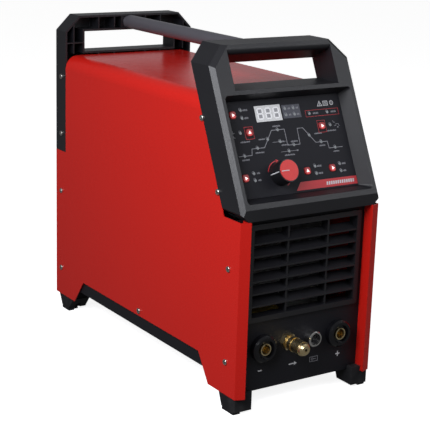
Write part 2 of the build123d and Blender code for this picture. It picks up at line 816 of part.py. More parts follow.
nose = front_y - gas_reach
with BuildPart() as gas_outlet:
    hexagon(gas_x, gas_z, panel_y - 8, panel_y, 20)
    rod(gas_x, gas_z, panel_y - 13, panel_y - 8, 7.2)
    rod(gas_x, gas_z, panel_y - 19, panel_y - 13, 10)
    rod(gas_x, gas_z, panel_y - 21, panel_y - 19, 8.2)
    rod(gas_x, gas_z, nose + 6, panel_y - 21, 9.5)
    with BuildSketch(facing(nose + 6)):
        with Locations((gas_x, gas_z)):
            Circle(9.2)
    with BuildSketch(facing(nose + 2.5)):
        with Locations((gas_x, gas_z)):
            Circle(8.2)
    loft()
    with BuildSketch(facing(nose + 2.5)):
        with Locations((gas_x, gas_z)):
            Circle(8.2)
    with BuildSketch(facing(nose)):
        with Locations((gas_x, gas_z)):
            Circle(6)
    loft()
    rod(gas_x, gas_z, panel_y - 1, panel_y + 16, gas_thread_r)
    rod(gas_x, gas_z, panel_y + 16, panel_y + 23, 3)
    rod(gas_x, gas_z, nose - 1, panel_y + 30, 2, Mode.SUBTRACT)
save(gas_outlet, "gas_outlet")

torch_shell_r = torch_body_r + 1.6
torch_bore = 7.8
with BuildPart() as torch_connector_shell:
    rod(torch_x, torch_z, front_y, panel_y, torch_shell_r)
    ring = torch_connector_shell.edges().filter_by(GeomType.CIRCLE).sort_by(Axis.Y)[0]
    chamfer(ring, 1.0)
    rod(torch_x, torch_z, panel_y, panel_y + 14, torch_body_r)
    rod(torch_x, torch_z, front_y - 1, panel_y + 15, torch_bore, Mode.SUBTRACT)
    key_z = torch_z + torch_bore
    block(torch_x - 1.3, torch_x + 1.3, front_y - 1, front_y + 8, key_z - 1.5, key_z + 1.0, Mode.SUBTRACT)
save(torch_connector_shell, "torch_connector_shell")

with BuildPart() as torch_connector_insert:
    rod(torch_x, torch_z, front_y + 5, panel_y + 14, torch_bore - 0.1)
    with BuildSketch(facing(panel_y + 20)):
        with Locations((torch_x, torch_z)):
            with PolarLocations(4.6, 5, start_angle=90):
                Circle(0.9)
    extrude(amount=panel_y + 20 - front_y - 1.5)
save(torch_connector_insert, "torch_connector_insert")

# ---------------------------------------------------------------- control panel
display_spot = (-27.0, 123.6)
display_size = (40.4, 21.0)
knob_spot = (-29.5, 43.7)
button_spots = {
    "button_mode": (-82.0, 125.0),
    "button_trigger": (-62.5, 101.0),
    "button_waveform": (53.0, 100.5),
    "button_start": (-82.5, 43.5),
    "button_pulse": (14.0, 43.5),
    "button_memory": (55.0, 43.5),
}
led_spots = [
    (0.3, 127.6), (13.8, 127.6), (0.3, 119.2), (13.8, 119.2), (-68.4, 130.3), (-68.4, 120.0),
    (-68.6, 48.2), (-68.6, 39.2), (28.0, 48.2), (28.0, 38.6), (68.6, 47.8), (68.6, 38.2),
    (37.6, 118.2), (67.0, 118.2), (67.3, 100.5), (-75.8, 101.2), (-76.7, 71.4), (-54.8, 79.8),
    (-36.6, 89.8), (-18.2, 101.0), (-18.0, 85.3), (2.2, 79.4), (29.8, 89.6), (46.6, 79.4),
    (67.4, 70.2), (-7.4, 71.8),
]
cap_size = 9.4
cap_lift = 1.6
cap_root = 0.6
button_travel = 1.0
led_r = 1.5
bushing_r = 3.5
shaft_r = 3.0
push_travel = 0.5
plate_back = recess_depth + overlay
floor_mid = sum(recess_floor) / 2
floor_tall = recess_floor[1] - recess_floor[0]

with BuildPart() as control_plate:
    with BuildSketch(sloped(plate_back)):
        rounded_rectangle((0, floor_mid), 2 * (floor_half - gap), floor_tall - 2 * gap, 1.2)
        with Locations(display_spot):
            Rectangle(display_size[0] + gap, display_size[1] + gap, mode=Mode.SUBTRACT)
        with Locations(*button_spots.values()):
            RectangleRounded(cap_size + 2 * gap, cap_size + 2 * gap, 3, mode=Mode.SUBTRACT)
        with Locations(*led_spots):
            Circle(led_r + 0.15, mode=Mode.SUBTRACT)
        with Locations(knob_spot):
            Circle(bushing_r + 0.15, mode=Mode.SUBTRACT)
    extrude(amount=overlay)
save(control_plate, "control_plate")

with BuildPart() as display_window:
    with BuildSketch(sloped(plate_back)):
        with Locations(display_spot):
            Rectangle(*display_size)
    extrude(amount=overlay)
save(display_window, "display_window")

with BuildPart() as display_module:
    with BuildSketch(sloped(board_depth)):
        with Locations(display_spot):
            Rectangle(display_size[0] - 1, display_size[1] - 1)
    extrude(amount=board_depth - plate_back - 0.1)
save(display_module, "display_module")

with BuildPart() as indicator_leds:
    with BuildSketch(sloped(board_depth)):
        with Locations(*led_spots):
            Circle(led_r)
    extrude(amount=board_depth - recess_depth + 0.3)
save(indicator_leds, "indicator_leds")


def make_button(spot):
    """A push cap with a flange behind the plate and a stem towards its switch."""
    with BuildPart() as button:
        with BuildSketch(sloped(plate_back + cap_root)):
            with Locations(spot):
                RectangleRounded(cap_size, cap_size, 2.8)
        extrude(amount=cap_root + overlay + cap_lift)
        top = button.faces().sort_by(Axis(face_foot, outward))[-1]
        fillet(top.edges(), 0.8)
        with BuildSketch(sloped(plate_back + 1.3)):
            with Locations(spot):
                RectangleRounded(cap_size + 2, cap_size + 2, 3)
        extrude(amount=1.2)
        with BuildSketch(sloped(plate_back + 1.9)):
            with Locations(spot):
                Circle(2)
        extrude(amount=1.5)
    return button


for name, spot in button_spots.items():
    save(make_button(spot), name)

switch_front = plate_back + 1.9 + button_travel + 0.1
with BuildPart() as tact_switches:
    with BuildSketch(sloped(board_depth)):
        with Locations(*button_spots.values()):
            Rectangle(6, 6)
    extrude(amount=3.0)
    with BuildSketch(sloped(board_depth - 2.5)):
        with Locations(*button_spots.values()):
            Circle(1.7)
    extrude(amount=board_depth - 2.5 - switch_front)
save(tact_switches, "tact_switches")

with BuildPart() as control_board:
    with BuildSketch(sloped(board_depth + board)):
        rounded_rectangle((0, floor_mid), 2 * (half - 8), floor_tall - 2, 3)
        with Locations(*boss_spots):
            Circle(1.6, mode=Mode.SUBTRACT)
    extrude(amount=board)
save(control_board, "control_board")

encoder_front = plate_back + 0.1
with BuildPart() as selector_encoder:
    with BuildSketch(sloped(board_depth)):
        with Locations(knob_spot):
            Rectangle(12.4, 12.4)
    extrude(amount=board_depth - encoder_front)
    with BuildSketch(sloped(encoder_front + 0.5)):
        with Locations(knob_spot):
            Circle(bushing_r)
    extrude(amount=encoder_front + 0.5 - recess_depth + 6)
    with BuildSketch(sloped(board_depth - 0.6)):
        with Locations(knob_spot):
            Circle(4.5)
    extrude(amount=4.6, mode=Mode.SUBTRACT)
    with BuildSketch(sloped(board_depth - 0.6)):
        with Locations(knob_spot):
            Circle(shaft_r + 0.05)
    extrude(amount=30, mode=Mode.SUBTRACT)
save(selector_encoder, "selector_encoder")

with BuildPart() as selector_nut:
    with BuildSketch(sloped(recess_depth)):
        with Locations(knob_spot):
            RegularPolygon(5.0, 6, major_radius=False)
            Circle(bushing_r, mode=Mode.SUBTRACT)
    extrude(amount=2.0)
save(selector_nut, "selector_nut")

plunger_back = board_depth - 0.6 - push_travel - 0.2
with BuildPart() as selector_plunger:
    with BuildSketch(sloped(plunger_back)):
        with Locations(knob_spot):
            Circle(4.2)
    extrude(amount=0.8)
save(selector_plunger, "selector_plunger")

knob_r = 14.6
knob_height = 20.0
cap_thick = 2.0
knob_base = recess_depth - 0.9
with BuildPart() as selector_shaft:
    with BuildSketch(sloped(plunger_back - 1.0)):
        with Locations(knob_spot):
            Circle(shaft_r)
    extrude(amount=plunger_back - 1.0)
save(selector_shaft, "selector_shaft")

with BuildPart() as knob:
    with BuildSketch(sloped(knob_base)):
        with Locations(knob_spot):
            Circle(knob_r + 0.9)
    with BuildSketch(sloped(knob_base - knob_height)):
        with Locations(knob_spot):
            Circle(knob_r)
    loft()
    with BuildSketch(sloped(knob_base)):
        with Locations(knob_spot):
            Circle(7.5)
    extrude(amount=8, mode=Mode.SUBTRACT)
    with BuildSketch(sloped(knob_base)):
        with Locations(knob_spot):
            Circle(shaft_r)
    extrude(amount=knob_base + 0.3, mode=Mode.SUBTRACT)
    with BuildSketch(sloped(knob_base - knob_height + 1.2)):
        with Locations(knob_spot):
            Circle(knob_r - 1.0)
    extrude(amount=2, mode=Mode.SUBTRACT)
save(knob, "knob")

with BuildPart() as knob_cap:
    with BuildSketch(sloped(knob_base - knob_height + 1.2)):
        with Locations(knob_spot):
            Circle(knob_r - 1.05)
    extrude(amount=cap_thick)
save(knob_cap, "knob_cap")

# ---------------------------------------------------------------- inside the case
tray_top = tray_bottom + plate
with BuildPart() as tunnel_partition:
    block(-tunnel_half, tunnel_half, tunnel_front, tunnel_rear, tunnel_top - plate, tunnel_top)
    for side in (-1, 1):
        wall_x = sorted((side * (tunnel_half - plate), side * tunnel_half))
        foot_x = sorted((side * (tunnel_half - plate), side * (tunnel_half + 2)))
        block(*wall_x, tunnel_front, tunnel_rear, tray_top, tunnel_top)
        block(*foot_x, tunnel_front, tunnel_rear, tray_top, tray_top + plate)
save(tunnel_partition, "tunnel_partition")

sink_base = 8.0
sink_tall = 52.0
sink_half = 34.0
fin_count = 12
shelf_under = tunnel_top - plate
with BuildPart() as heatsinks:
    for middle in (-sink_half - 4.5, sink_half + 4.5):
        y0, y1 = tunnel_front + 110, tunnel_front + 270
        block(middle - sink_half, middle + sink_half, y0, y1, shelf_under - sink_base, shelf_under)
        for number in range(fin_count):
            x = middle - sink_half + 1.5 + number * (2 * sink_half - 3) / (fin_count - 1)
            block(x - 0.9, x + 0.9, y0, y1, shelf_under - sink_tall, shelf_under - sink_base)
save(heatsinks, "heatsinks")

board_z = tunnel_top + 12.0
power_half = tunnel_half + 10.0
with BuildPart() as power_board:
    block(-power_half, power_half, tunnel_front + 60, tunnel_rear - 20, board_z, board_z + board)
    with Locations(*[(x, y, board_z) for x in (-75, 75) for y in (tunnel_front + 80, tunnel_rear - 40)]):
        Cylinder(3.5, board_z - tunnel_top, align=(Align.CENTER, Align.CENTER, Align.MAX))
save(power_board, "power_board")

with BuildPart() as power_devices:
    for x in (-52, -25, 25, 52):
        for along in (135, 170, 205, 240):
            y = tunnel_front + along
            block(x - 8, x + 8, y - 10, y + 10, tunnel_top, tunnel_top + 5)
save(power_devices, "power_devices")

cap_r = 17.5
cap_tall = 50.0
with BuildPart() as capacitors:
    with Locations(*[(x, tunnel_front + 115, board_z + board) for x in (-60, -20, 20, 60)]):
        Cylinder(cap_r, cap_tall, align=(Align.CENTER, Align.CENTER, Align.MIN))
    fillet(capacitors.edges().filter_by(GeomType.CIRCLE).group_by(Axis.Z)[-1], 2)
save(capacitors, "capacitors")

core_y = tunnel_front + 52.0
with BuildPart() as transformer_core:
    block(-36, 36, core_y - 16, core_y + 16, tray_top, tray_top + 68)
    for side in (-1, 1):
        window_x = sorted((side * 10, side * 26))
        block(*window_x, core_y - 17, core_y + 17, tray_top + 12, tray_top + 56, Mode.SUBTRACT)
save(transformer_core, "transformer_core")

with BuildPart() as transformer_winding:
    block(-25.5, 25.5, core_y - 31, core_y + 31, tray_top + 12.5, tray_top + 55.5)
    block(-10.3, 10.3, core_y - 16.3, core_y + 16.3, tray_top + 12, tray_top + 56, Mode.SUBTRACT)
    fillet(transformer_winding.edges().filter_by(Axis.Z).group_by(Axis.Y)[0], 6)
    fillet(transformer_winding.edges().filter_by(Axis.Z).group_by(Axis.Y)[-1], 6)
save(transformer_winding, "transformer_winding")

choke_y = tunnel_rear - 50.0
with BuildPart() as output_choke:
    with BuildSketch(facing(choke_y + 18)):
        with Locations((0, tray_top + 34)):
            Circle(34)
            Circle(13, mode=Mode.SUBTRACT)
    extrude(amount=36)
    fillet(output_choke.edges().filter_by(GeomType.CIRCLE), 7)
save(output_choke, "output_choke")

with BuildPart() as arc_start_coil:
    with BuildSketch(facing(tunnel_front + 42)):
        with Locations((46, tunnel_top + 26)):
            Circle(26)
            Circle(11, mode=Mode.SUBTRACT)
    extrude(amount=22)
    fillet(arc_start_coil.edges().filter_by(GeomType.CIRCLE), 5)
save(arc_start_coil, "arc_start_coil")

# ---------------------------------------------------------------- gas valve and hoses
valve_half = 14.0
valve_thread = 8.0
valve_y = rear_panel_y - 14.0 - valve_half + valve_thread
valve_travel = 2.0
plunger_r = 4.0
coil_z = (inlet_z + 12.0, inlet_z + 46.0)
with BuildPart() as gas_valve_body:
    block(inlet_x - 10, inlet_x + 10, valve_y - valve_half, valve_y + valve_half, inlet_z - 10, coil_z[0])
    rod(inlet_x, inlet_z, valve_y - valve_half - 12, valve_y, 3)
    rod(inlet_x, inlet_z, valve_y - valve_half - 13, valve_y + valve_half, 2, Mode.SUBTRACT)
    thread_end = valve_y + valve_half
    rod(inlet_x, inlet_z, thread_end - valve_thread, thread_end, inlet_r + 0.05, Mode.SUBTRACT)
    with BuildSketch(Plane.XY.offset(coil_z[0] - 1)):
        with Locations((inlet_x, valve_y)):
            Circle(5.2)
    extrude(amount=coil_z[1] - coil_z[0])
    with BuildSketch(Plane.XY.offset(inlet_z + 4)):
        with Locations((inlet_x, valve_y)):
            Circle(plunger_r + 0.08)
    extrude(amount=coil_z[1] - inlet_z - 8, mode=Mode.SUBTRACT)
save(gas_valve_body, "gas_valve_body")

with BuildPart() as gas_valve_coil:
    with Locations((inlet_x, valve_y, (coil_z[0] + coil_z[1]) / 2 + 0.1)):
        Box(20, 26, coil_z[1] - coil_z[0] - 4)
        Cylinder(5.3, coil_z[1], mode=Mode.SUBTRACT)
save(gas_valve_coil, "gas_valve_coil")

with BuildPart() as gas_valve_plunger:
    with Locations((inlet_x, valve_y, inlet_z + 4.2)):
        Cylinder(plunger_r, 28, align=(Align.CENTER, Align.CENTER, Align.MIN))
save(gas_valve_plunger, "gas_valve_plunger")

hose_r = 4.5
hose_bore = 3.05


def make_hose(points, radii):
    """A hose of straight runs joined by tangent arcs."""
    with BuildPart() as hose:
        with BuildLine() as route:
            FilletPolyline(*points, radius=radii)
        path = route.wires()[0]
        with BuildSketch(Plane(origin=path @ 0, z_dir=path % 0)) as section:
            Circle(hose_r)
            Circle(hose_bore, mode=Mode.SUBTRACT)
        sweep(section.sketch, path)
    area = 3.14159265 * (hose_r**2 - hose_bore**2)
    print("hose volume", round(hose.part.volume), "section times length", round(area * path.length))
    return hose


hose_start = valve_y - valve_half - 1.0
hose_end = panel_y + 16.5
hose_turn = front_y + 58.0
hose_corner = 14.0
hose_points = [
    (inlet_x, hose_start, inlet_z),
    (inlet_x, hose_turn + hose_corner, inlet_z),
    (inlet_x + hose_corner, hose_turn, inlet_z),
    (gas_x - hose_corner, hose_turn, gas_z),
    (gas_x, hose_turn - hose_corner, gas_z),
    (gas_x, hose_end, gas_z),
]
hose_radii = [21.0, 21.0, 21.0, 16.0]
gas_hose = make_hose(hose_points, hose_radii)
print("gas_hose radii", hose_radii)
save(gas_hose, "gas_hose")

# ---------------------------------------------------------------- side screws
with BuildPart() as side_screws:
    for side in (-1, 1):
        for y, z in all_side_screws:
            with BuildSketch(Plane(origin=(side * half, y, z), z_dir=(side, 0, 0))):
                Circle(screw_head_r)
            extrude(amount=screw_head)
            with BuildSketch(Plane(origin=(side * half, y, z), z_dir=(side, 0, 0))):
                Circle(screw_r - 0.05)
            extrude(amount=-7.5)
    fillet(side_screws.edges().filter_by(GeomType.CIRCLE).group_by(Axis.X)[0], 1.2)
    fillet(side_screws.edges().filter_by(GeomType.CIRCLE).group_by(Axis.X)[-1], 1.2)
    for side in (-1, 1):
        for y, z in all_side_screws:
            with BuildSketch(Plane(origin=(side * (half + screw_head), y, z), z_dir=(side, 0, 0))):
                Rectangle(4.2, 0.9)
                Rectangle(0.9, 4.2)
            extrude(amount=-1.2, mode=Mode.SUBTRACT)
save(side_screws, "side_screws")
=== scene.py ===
# %% [markdown]
# # The finishes and printed marks of a TIG welding machine
# The machine arrives as a packed assembly: folded steel, mouldings, fittings and the electronics inside,
# each piece in its own object and already in its place, in metres. Blender adds what such a file can't
# hold: the finish of every surface, softened edges, printed marks, light and a camera. Nothing here moves
# or reshapes a piece, so the machine keeps the sizes that it was designed with.

# %% Load the machine
import math
import bmesh
import bpy
from mathutils import Matrix, Vector


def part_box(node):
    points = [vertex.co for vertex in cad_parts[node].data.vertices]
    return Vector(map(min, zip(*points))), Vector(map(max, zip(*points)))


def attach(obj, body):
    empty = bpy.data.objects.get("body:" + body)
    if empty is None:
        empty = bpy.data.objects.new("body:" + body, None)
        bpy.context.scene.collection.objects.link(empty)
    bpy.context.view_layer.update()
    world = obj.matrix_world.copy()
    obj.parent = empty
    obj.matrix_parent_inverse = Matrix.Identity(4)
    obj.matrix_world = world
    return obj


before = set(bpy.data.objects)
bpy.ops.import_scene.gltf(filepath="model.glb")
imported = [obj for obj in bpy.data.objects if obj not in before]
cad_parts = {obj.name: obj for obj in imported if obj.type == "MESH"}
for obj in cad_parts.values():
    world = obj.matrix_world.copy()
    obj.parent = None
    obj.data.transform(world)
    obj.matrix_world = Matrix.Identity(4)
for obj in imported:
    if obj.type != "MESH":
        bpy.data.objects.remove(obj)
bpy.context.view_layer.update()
mm = 0.001

# %% [markdown]
# ## The camera
# The machine is seen from its front left, a little above the middle of its height, through a long lens. A
# long lens keeps the upright edges almost parallel, which suits a tall box. The camera could be aimed with
# a Track To constraint. Its three axes are worked out here instead, so that a small roll is easy to add.

# %% Set up the camera
camera_place = Vector((-0.966, -1.465, 0.663))
camera_azimuth = math.radians(-33.85)
camera_height_angle = math.radians(14.94)
camera_roll = math.radians(1.80)
sensor = 36.0
lens = 105.7

back = Vector((
    math.sin(camera_azimuth) * math.cos(camera_height_angle),
    -math.cos(camera_azimuth) * math.cos(camera_height_angle),
    math.sin(camera_height_angle),
))
level = Vector((math.cos(camera_azimuth), math.sin(camera_azimuth), 0.0))
upright = back.cross(level)
across = math.cos(camera_roll) * level + math.sin(camera_roll) * upright
camera_up = math.cos(camera_roll) * upright - math.sin(camera_roll) * level
camera_data = bpy.data.cameras.new("camera")
camera_data.lens = lens
camera_data.sensor_width = sensor
camera_data.clip_end = 100.0
camera = bpy.data.objects.new("camera", camera_data)
turned = Matrix((across, camera_up, back)).transposed().to_4x4()
camera.matrix_world = Matrix.Translation(camera_place) @ turned
bpy.context.scene.collection.objects.link(camera)
bpy.context.scene.camera = camera
print("camera at", [round(c, 3) for c in camera_place], "lens", lens)

# %% [markdown]
# ## Arithmetic on surfaces
# A procedural finish is a small sum worked out at every point of a surface: noise, times a little, plus the
# paint's own roughness. Node graphs say that with one box for each sign, which is slow to write and to
# read. A class that wraps a socket and overloads + - and * lets the sum be written as a sum. Each sign adds
# one Math node. Colours don't go through it, because a Math node turns a colour grey: they are mixed by a
# Mix node.

# %% Write surface sums as Python
def worked(operation, reflected=False):
    def method(self, other):
        first, second = (other, self) if reflected else (self, other)
        return self.finish.node("ShaderNodeMath", {"operation": operation}, {0: first, 1: second})
    return method


class Reading:
    """A value or colour that changes over a surface: one output socket of a finish."""

    def __init__(self, finish, socket):
        self.finish = finish
        self.socket = socket

    __add__ = worked("ADD")
    __radd__ = worked("ADD", reflected=True)
    __sub__ = worked("SUBTRACT")
    __rsub__ = worked("SUBTRACT", reflected=True)
    __mul__ = worked("MULTIPLY")
    __rmul__ = worked("MULTIPLY", reflected=True)

    def band(self, low, high, to_low=0.0, to_high=1.0):
        """The reading eased from to_low at low to to_high at high, and held outside them."""
        sockets = {"Value": self, "From Min": low, "From Max": high, "To Min": to_low, "To Max": to_high}
        return self.finish.node("ShaderNodeMapRange", {"interpolation_type": "SMOOTHSTEP"}, sockets)


print("a reading takes + - and *, and can be eased into a band")

# %% [markdown]
# ## One class for a finish
# A finish is a material with a Principled shader at its end. Every finish here asks for the same few
# things: the place on the piece, noise of some grain size, a blend of two colours, and a bump. The class
# below gives those names, and `node` reaches any other Blender node. Places are read in the piece's own
# coordinates, so the grain travels with a knob or a fan blade when it turns.

# %% Define the finish class
class Finish:
    """A material for one kind of surface, and the nodes that work it out."""

    made = {}

    def __init__(self, name):
        self.material = bpy.data.materials.new(name)
        self.material.use_nodes = True
        self.nodes = self.material.node_tree.nodes
        self.links = self.material.node_tree.links
        self.nodes.clear()
        Finish.made[name] = self.material

    @staticmethod
    def pick(sockets, key):
        if isinstance(key, int):
            return sockets[key]
        return next(s for s in sockets if key == s.identifier or (key == s.name and s.enabled))

    def node(self, kind, settings, sockets, output=0):
        """Adds one node: its settings first, then its sockets' values or links. Returns one output."""
        added = self.nodes.new(kind)
        for name, value in settings.items():
            if name == "stops":
                self.set_stops(added.color_ramp, value)
            else:
                setattr(added, name, value)
        for key, value in sockets.items():
            socket = self.pick(added.inputs, key)
            if isinstance(value, Reading):
                self.links.new(value.socket, socket)
            else:
                socket.default_value = value
        return Reading(self, self.pick(added.outputs, output))

    @staticmethod
    def set_stops(ramp, stops):
        while len(ramp.elements) < len(stops):
            ramp.elements.new(0.5)
        for element, (place, colour) in zip(ramp.elements, stops):
            element.position = place
            element.color = (*colour, 1.0)

    def place(self, stretch=(1.0, 1.0, 1.0)):
        """The point on the piece, in metres, with each axis stretched."""
        point = self.node("ShaderNodeTexCoord", {}, {}, "Object")
        return self.node("ShaderNodeVectorMath", {"operation": "MULTIPLY"}, {0: point, 1: stretch})

    def noise(self, grain, detail=2.0, stretch=(1.0, 1.0, 1.0)):
        """Cloudy noise from 0 to 1 whose patches are about `grain` metres across."""
        sockets = {"Vector": self.place(stretch), "Scale": 1.0 / grain, "Detail": detail}
        return self.node("ShaderNodeTexNoise", {}, sockets, "Fac")

    def cells(self, grain, output, feature="F1"):
        """Crystal-like cells about `grain` metres across."""
        sockets = {"Vector": self.place(), "Scale": 1.0 / grain}
        return self.node("ShaderNodeTexVoronoi", {"feature": feature}, sockets, output)

    def along(self, axis):
        """How far the point is along X, Y or Z, in metres."""
        return self.node("ShaderNodeSeparateXYZ", {}, {"Vector": self.place()}, axis)

    def blend(self, share, first, second):
        """The first colour where share is 0 and the second where it is 1."""
        colours = {
            key: (*colour, 1.0) if isinstance(colour, tuple) else colour
            for key, colour in (("A_Color", first), ("B_Color", second))
        }
        settings = {"data_type": "RGBA", "clamp_factor": True}
        return self.node("ShaderNodeMix", settings, {"Factor_Float": share, **colours}, "Result_Color")

    def bump(self, height, depth):
        """Turns a height from 0 to 1 into a surface `depth` metres deep."""
        sockets = {"Height": height, "Distance": depth, "Strength": 1.0}
        return self.node("ShaderNodeBump", {}, sockets, "Normal")

    def surface(self, colour, **sockets):
        """Ends the finish in a Principled shader. Names of sockets are given with _ for a space."""
        shader_sockets = {"Base Color": (*colour, 1.0) if isinstance(colour, tuple) else colour}
        for name, value in sockets.items():
            shader_sockets[name.replace("_", " ")] = value
        shader = self.node("ShaderNodeBsdfPrincipled", {}, shader_sockets, "BSDF")
        end = self.nodes.new("ShaderNodeOutputMaterial")
        self.links.new(shader.socket, end.inputs["Surface"])
        return self.material


print("finish helpers:", [name for name in vars(Finish) if not name.startswith("_")])

# %% [markdown]
# ## Red powder coat
# The cover is folded steel, sprayed with dry paint and baked. The melted powder sets in a glossy skin that
# is never quite level: soft dimples a millimetre or two across, called orange peel. A clear coat layer
# would do for a car. Powder coat is one layer, so the gloss is the paint's own low roughness, and the
# dimples are a bump of a few hundredths of a millimetre. Slow noise shifts the colour a little where the
# coat is thinner.

# %% Mix the red powder coat
def red_powder_coat():
    paint = Finish("red_powder_coat")
    thin = paint.noise(0.09, detail=3.0)
    speckle = paint.noise(0.0006, detail=1.0)
    colour = paint.blend(thin * 0.35 + speckle * 0.10, (0.660, 0.016, 0.010), (0.580, 0.011, 0.008))
    peel = paint.bump(paint.noise(0.0022, detail=2.0), 0.00004)
    gloss = 0.23 + thin * 0.05 + speckle * 0.03
    return paint.surface(colour, Roughness=gloss, Normal=peel, Specular_IOR_Level=0.3)


red_powder_coat()
print("mixed", sorted(Finish.made))

# %% [markdown]
# ## Black sheet and black mouldings
# Two blacks look alike in name only. The panels are steel with a fine black texture coat, whose grain is a
# wrinkle of under a millimetre. The mouldings are nylon, whose skin copies a spark-etched tool: a finer,
# softer grain. Both are made from two sizes of noise, one for the grain and one for the slow change in
# sheen that large flat faces show. The foot rubber is duller, with a pale bloom, and the sockets' insulator
# is hard and glossy.

# %% Mix the blacks
def black_steel():
    paint = Finish("black_steel")
    wrinkle = paint.noise(0.0007, detail=2.0)
    cloud = paint.noise(0.05, detail=2.0)
    colour = paint.blend(wrinkle.band(0.35, 0.75), (0.0075, 0.0075, 0.0105), (0.0125, 0.0125, 0.0165))
    return paint.surface(colour, Roughness=0.42 + wrinkle * 0.12 + cloud * 0.06, Specular_IOR_Level=0.3,
                         Normal=paint.bump(wrinkle, 0.00010))


def black_moulding():
    nylon = Finish("black_moulding")
    etched = nylon.noise(0.00045, detail=1.5)
    flow = nylon.noise(0.07, detail=2.0, stretch=(1.0, 0.4, 1.0))
    colour = nylon.blend(flow, (0.0055, 0.0055, 0.0080), (0.0085, 0.0085, 0.0115))
    return nylon.surface(colour, Roughness=0.36 + flow * 0.10 + etched * 0.10, Specular_IOR_Level=0.65,
                         Normal=nylon.bump(etched, 0.00006))


def foot_rubber():
    rubber = Finish("foot_rubber")
    bloom = rubber.noise(0.02, detail=4.0)
    grit = rubber.noise(0.0008, detail=2.0)
    colour = rubber.blend(bloom.band(0.4, 0.8), (0.013, 0.013, 0.015), (0.030, 0.030, 0.032))
    return rubber.surface(colour, Roughness=0.62 + grit * 0.2, Specular_IOR_Level=0.2,
                          Normal=rubber.bump(grit, 0.00012))


def socket_insulator():
    bakelite = Finish("socket_insulator")
    scuff = bakelite.noise(0.0012, detail=3.0)
    colour = bakelite.blend(scuff, (0.0035, 0.0035, 0.0050), (0.0065, 0.0065, 0.0085))
    return bakelite.surface(colour, Roughness=0.12 + scuff * 0.12, IOR=1.5,
                            Normal=bakelite.bump(scuff, 0.00002))


for mix in (black_steel, black_moulding, foot_rubber, socket_insulator):
    mix()
print("mixed", sorted(Finish.made))

# %% [markdown]
# ## Metals
# Bare metals differ in how they were worked. Turned brass carries fine rings round its axis, spaced along Y
# on this machine, because every fitting points to the front or the back. Zinc plating is bright and a
# little patchy, galvanised sheet shows flat crystals, and drawn aluminium has long streaks. Each is a
# metallic Principled shader whose roughness follows those marks, so a highlight breaks up as it does on the
# real thing. The carry tube is steel under a smooth grey paint, so it is only partly metallic.

# %% Mix the metals
def turned_metal(name, bright, dull, roughness, groove=0.00035, depth=0.000012):
    metal = Finish(name)
    turns = metal.along("Y") * (2 * math.pi / groove)
    rings = metal.node("ShaderNodeMath", {"operation": "SINE"}, {0: turns})
    stain = metal.noise(0.006, detail=4.0)
    colour = metal.blend(stain.band(0.35, 0.8), bright, dull)
    return metal.surface(colour, Metallic=1.0, Roughness=roughness + stain * 0.16,
                         Normal=metal.bump(rings * 0.5 + 0.5, depth))


def zinc_screw():
    zinc = Finish("zinc_screw")
    patch = zinc.noise(0.0015, detail=3.0)
    colour = zinc.blend(patch, (0.66, 0.64, 0.58), (0.50, 0.50, 0.49))
    return zinc.surface(colour, Metallic=1.0, Roughness=0.22 + patch * 0.2, Normal=zinc.bump(patch, 0.00003))


def zinc_sheet():
    sheet = Finish("zinc_sheet")
    tone = sheet.cells(0.012, "Color")
    shine = sheet.node("ShaderNodeSeparateXYZ", {}, {"Vector": tone}, "X")
    colour = sheet.blend(shine, (0.52, 0.54, 0.55), (0.68, 0.69, 0.69))
    return sheet.surface(colour, Metallic=1.0, Roughness=0.30 + shine * 0.18)


def aluminium():
    extruded = Finish("aluminium")
    drawn = extruded.noise(0.0009, detail=2.0, stretch=(1.0, 0.02, 1.0))
    colour = extruded.blend(drawn, (0.74, 0.75, 0.77), (0.60, 0.61, 0.63))
    return extruded.surface(colour, Metallic=1.0, Roughness=0.28 + drawn * 0.2,
                            Normal=extruded.bump(drawn, 0.00002))


def grey_tube():
    paint = Finish("grey_tube")
    drift = paint.noise(0.05, detail=2.0)
    fine = paint.noise(0.0009, detail=2.0)
    colour = paint.blend(drift, (0.105, 0.102, 0.118), (0.125, 0.120, 0.138))
    return paint.surface(colour, Roughness=0.30 + fine * 0.14, Metallic=0.25,
                         Normal=paint.bump(fine, 0.00003))


turned_metal("brass", (0.93, 0.78, 0.46), (0.80, 0.60, 0.30), 0.20)
turned_metal("connector_chrome", (0.80, 0.79, 0.77), (0.62, 0.61, 0.60), 0.08, depth=0.000006)
turned_metal("chromed_wire", (0.74, 0.75, 0.77), (0.55, 0.56, 0.58), 0.12, groove=0.004, depth=0.00001)
for mix in (zinc_screw, zinc_sheet, aluminium, grey_tube):
    mix()
print("mixed", len(Finish.made), "finishes")

# %% [markdown]
# ## The control panel's plastics
# The overlay is a printed film with a velvet face. Its grain is finer than the mouldings', and it holds the
# marks, which are added later as thin pieces of their own. The push buttons are red translucent caps lit
# from behind: the light is strongest in the middle, so the glow is worked out from the distance to the
# cap's middle, in coordinates that run from 0 to 1 across the piece. That way one finish serves six
# buttons.

# %% Mix the panel's plastics
def control_overlay():
    film = Finish("control_overlay")
    velvet = film.noise(0.0005, detail=1.0)
    haze = film.noise(0.04, detail=2.0)
    colour = film.blend(haze, (0.017, 0.017, 0.021), (0.022, 0.022, 0.027))
    return film.surface(colour, Roughness=0.46 + velvet * 0.12, Specular_IOR_Level=0.12,
                        Normal=film.bump(velvet, 0.00003))


def display_glass():
    lens_film = Finish("display_glass")
    milk = lens_film.noise(0.004, detail=2.0)
    colour = lens_film.blend(milk, (0.44, 0.44, 0.45), (0.50, 0.50, 0.51))
    return lens_film.surface(colour, Roughness=0.18 + milk * 0.08, Emission_Color=colour,
                             Emission_Strength=0.30)


def indicator_lens():
    dome = Finish("indicator_lens")
    milk = dome.noise(0.0012, detail=2.0)
    colour = dome.blend(milk, (0.16, 0.18, 0.19), (0.26, 0.28, 0.28))
    return dome.surface(colour, Roughness=0.15 + milk * 0.1, IOR=1.55)


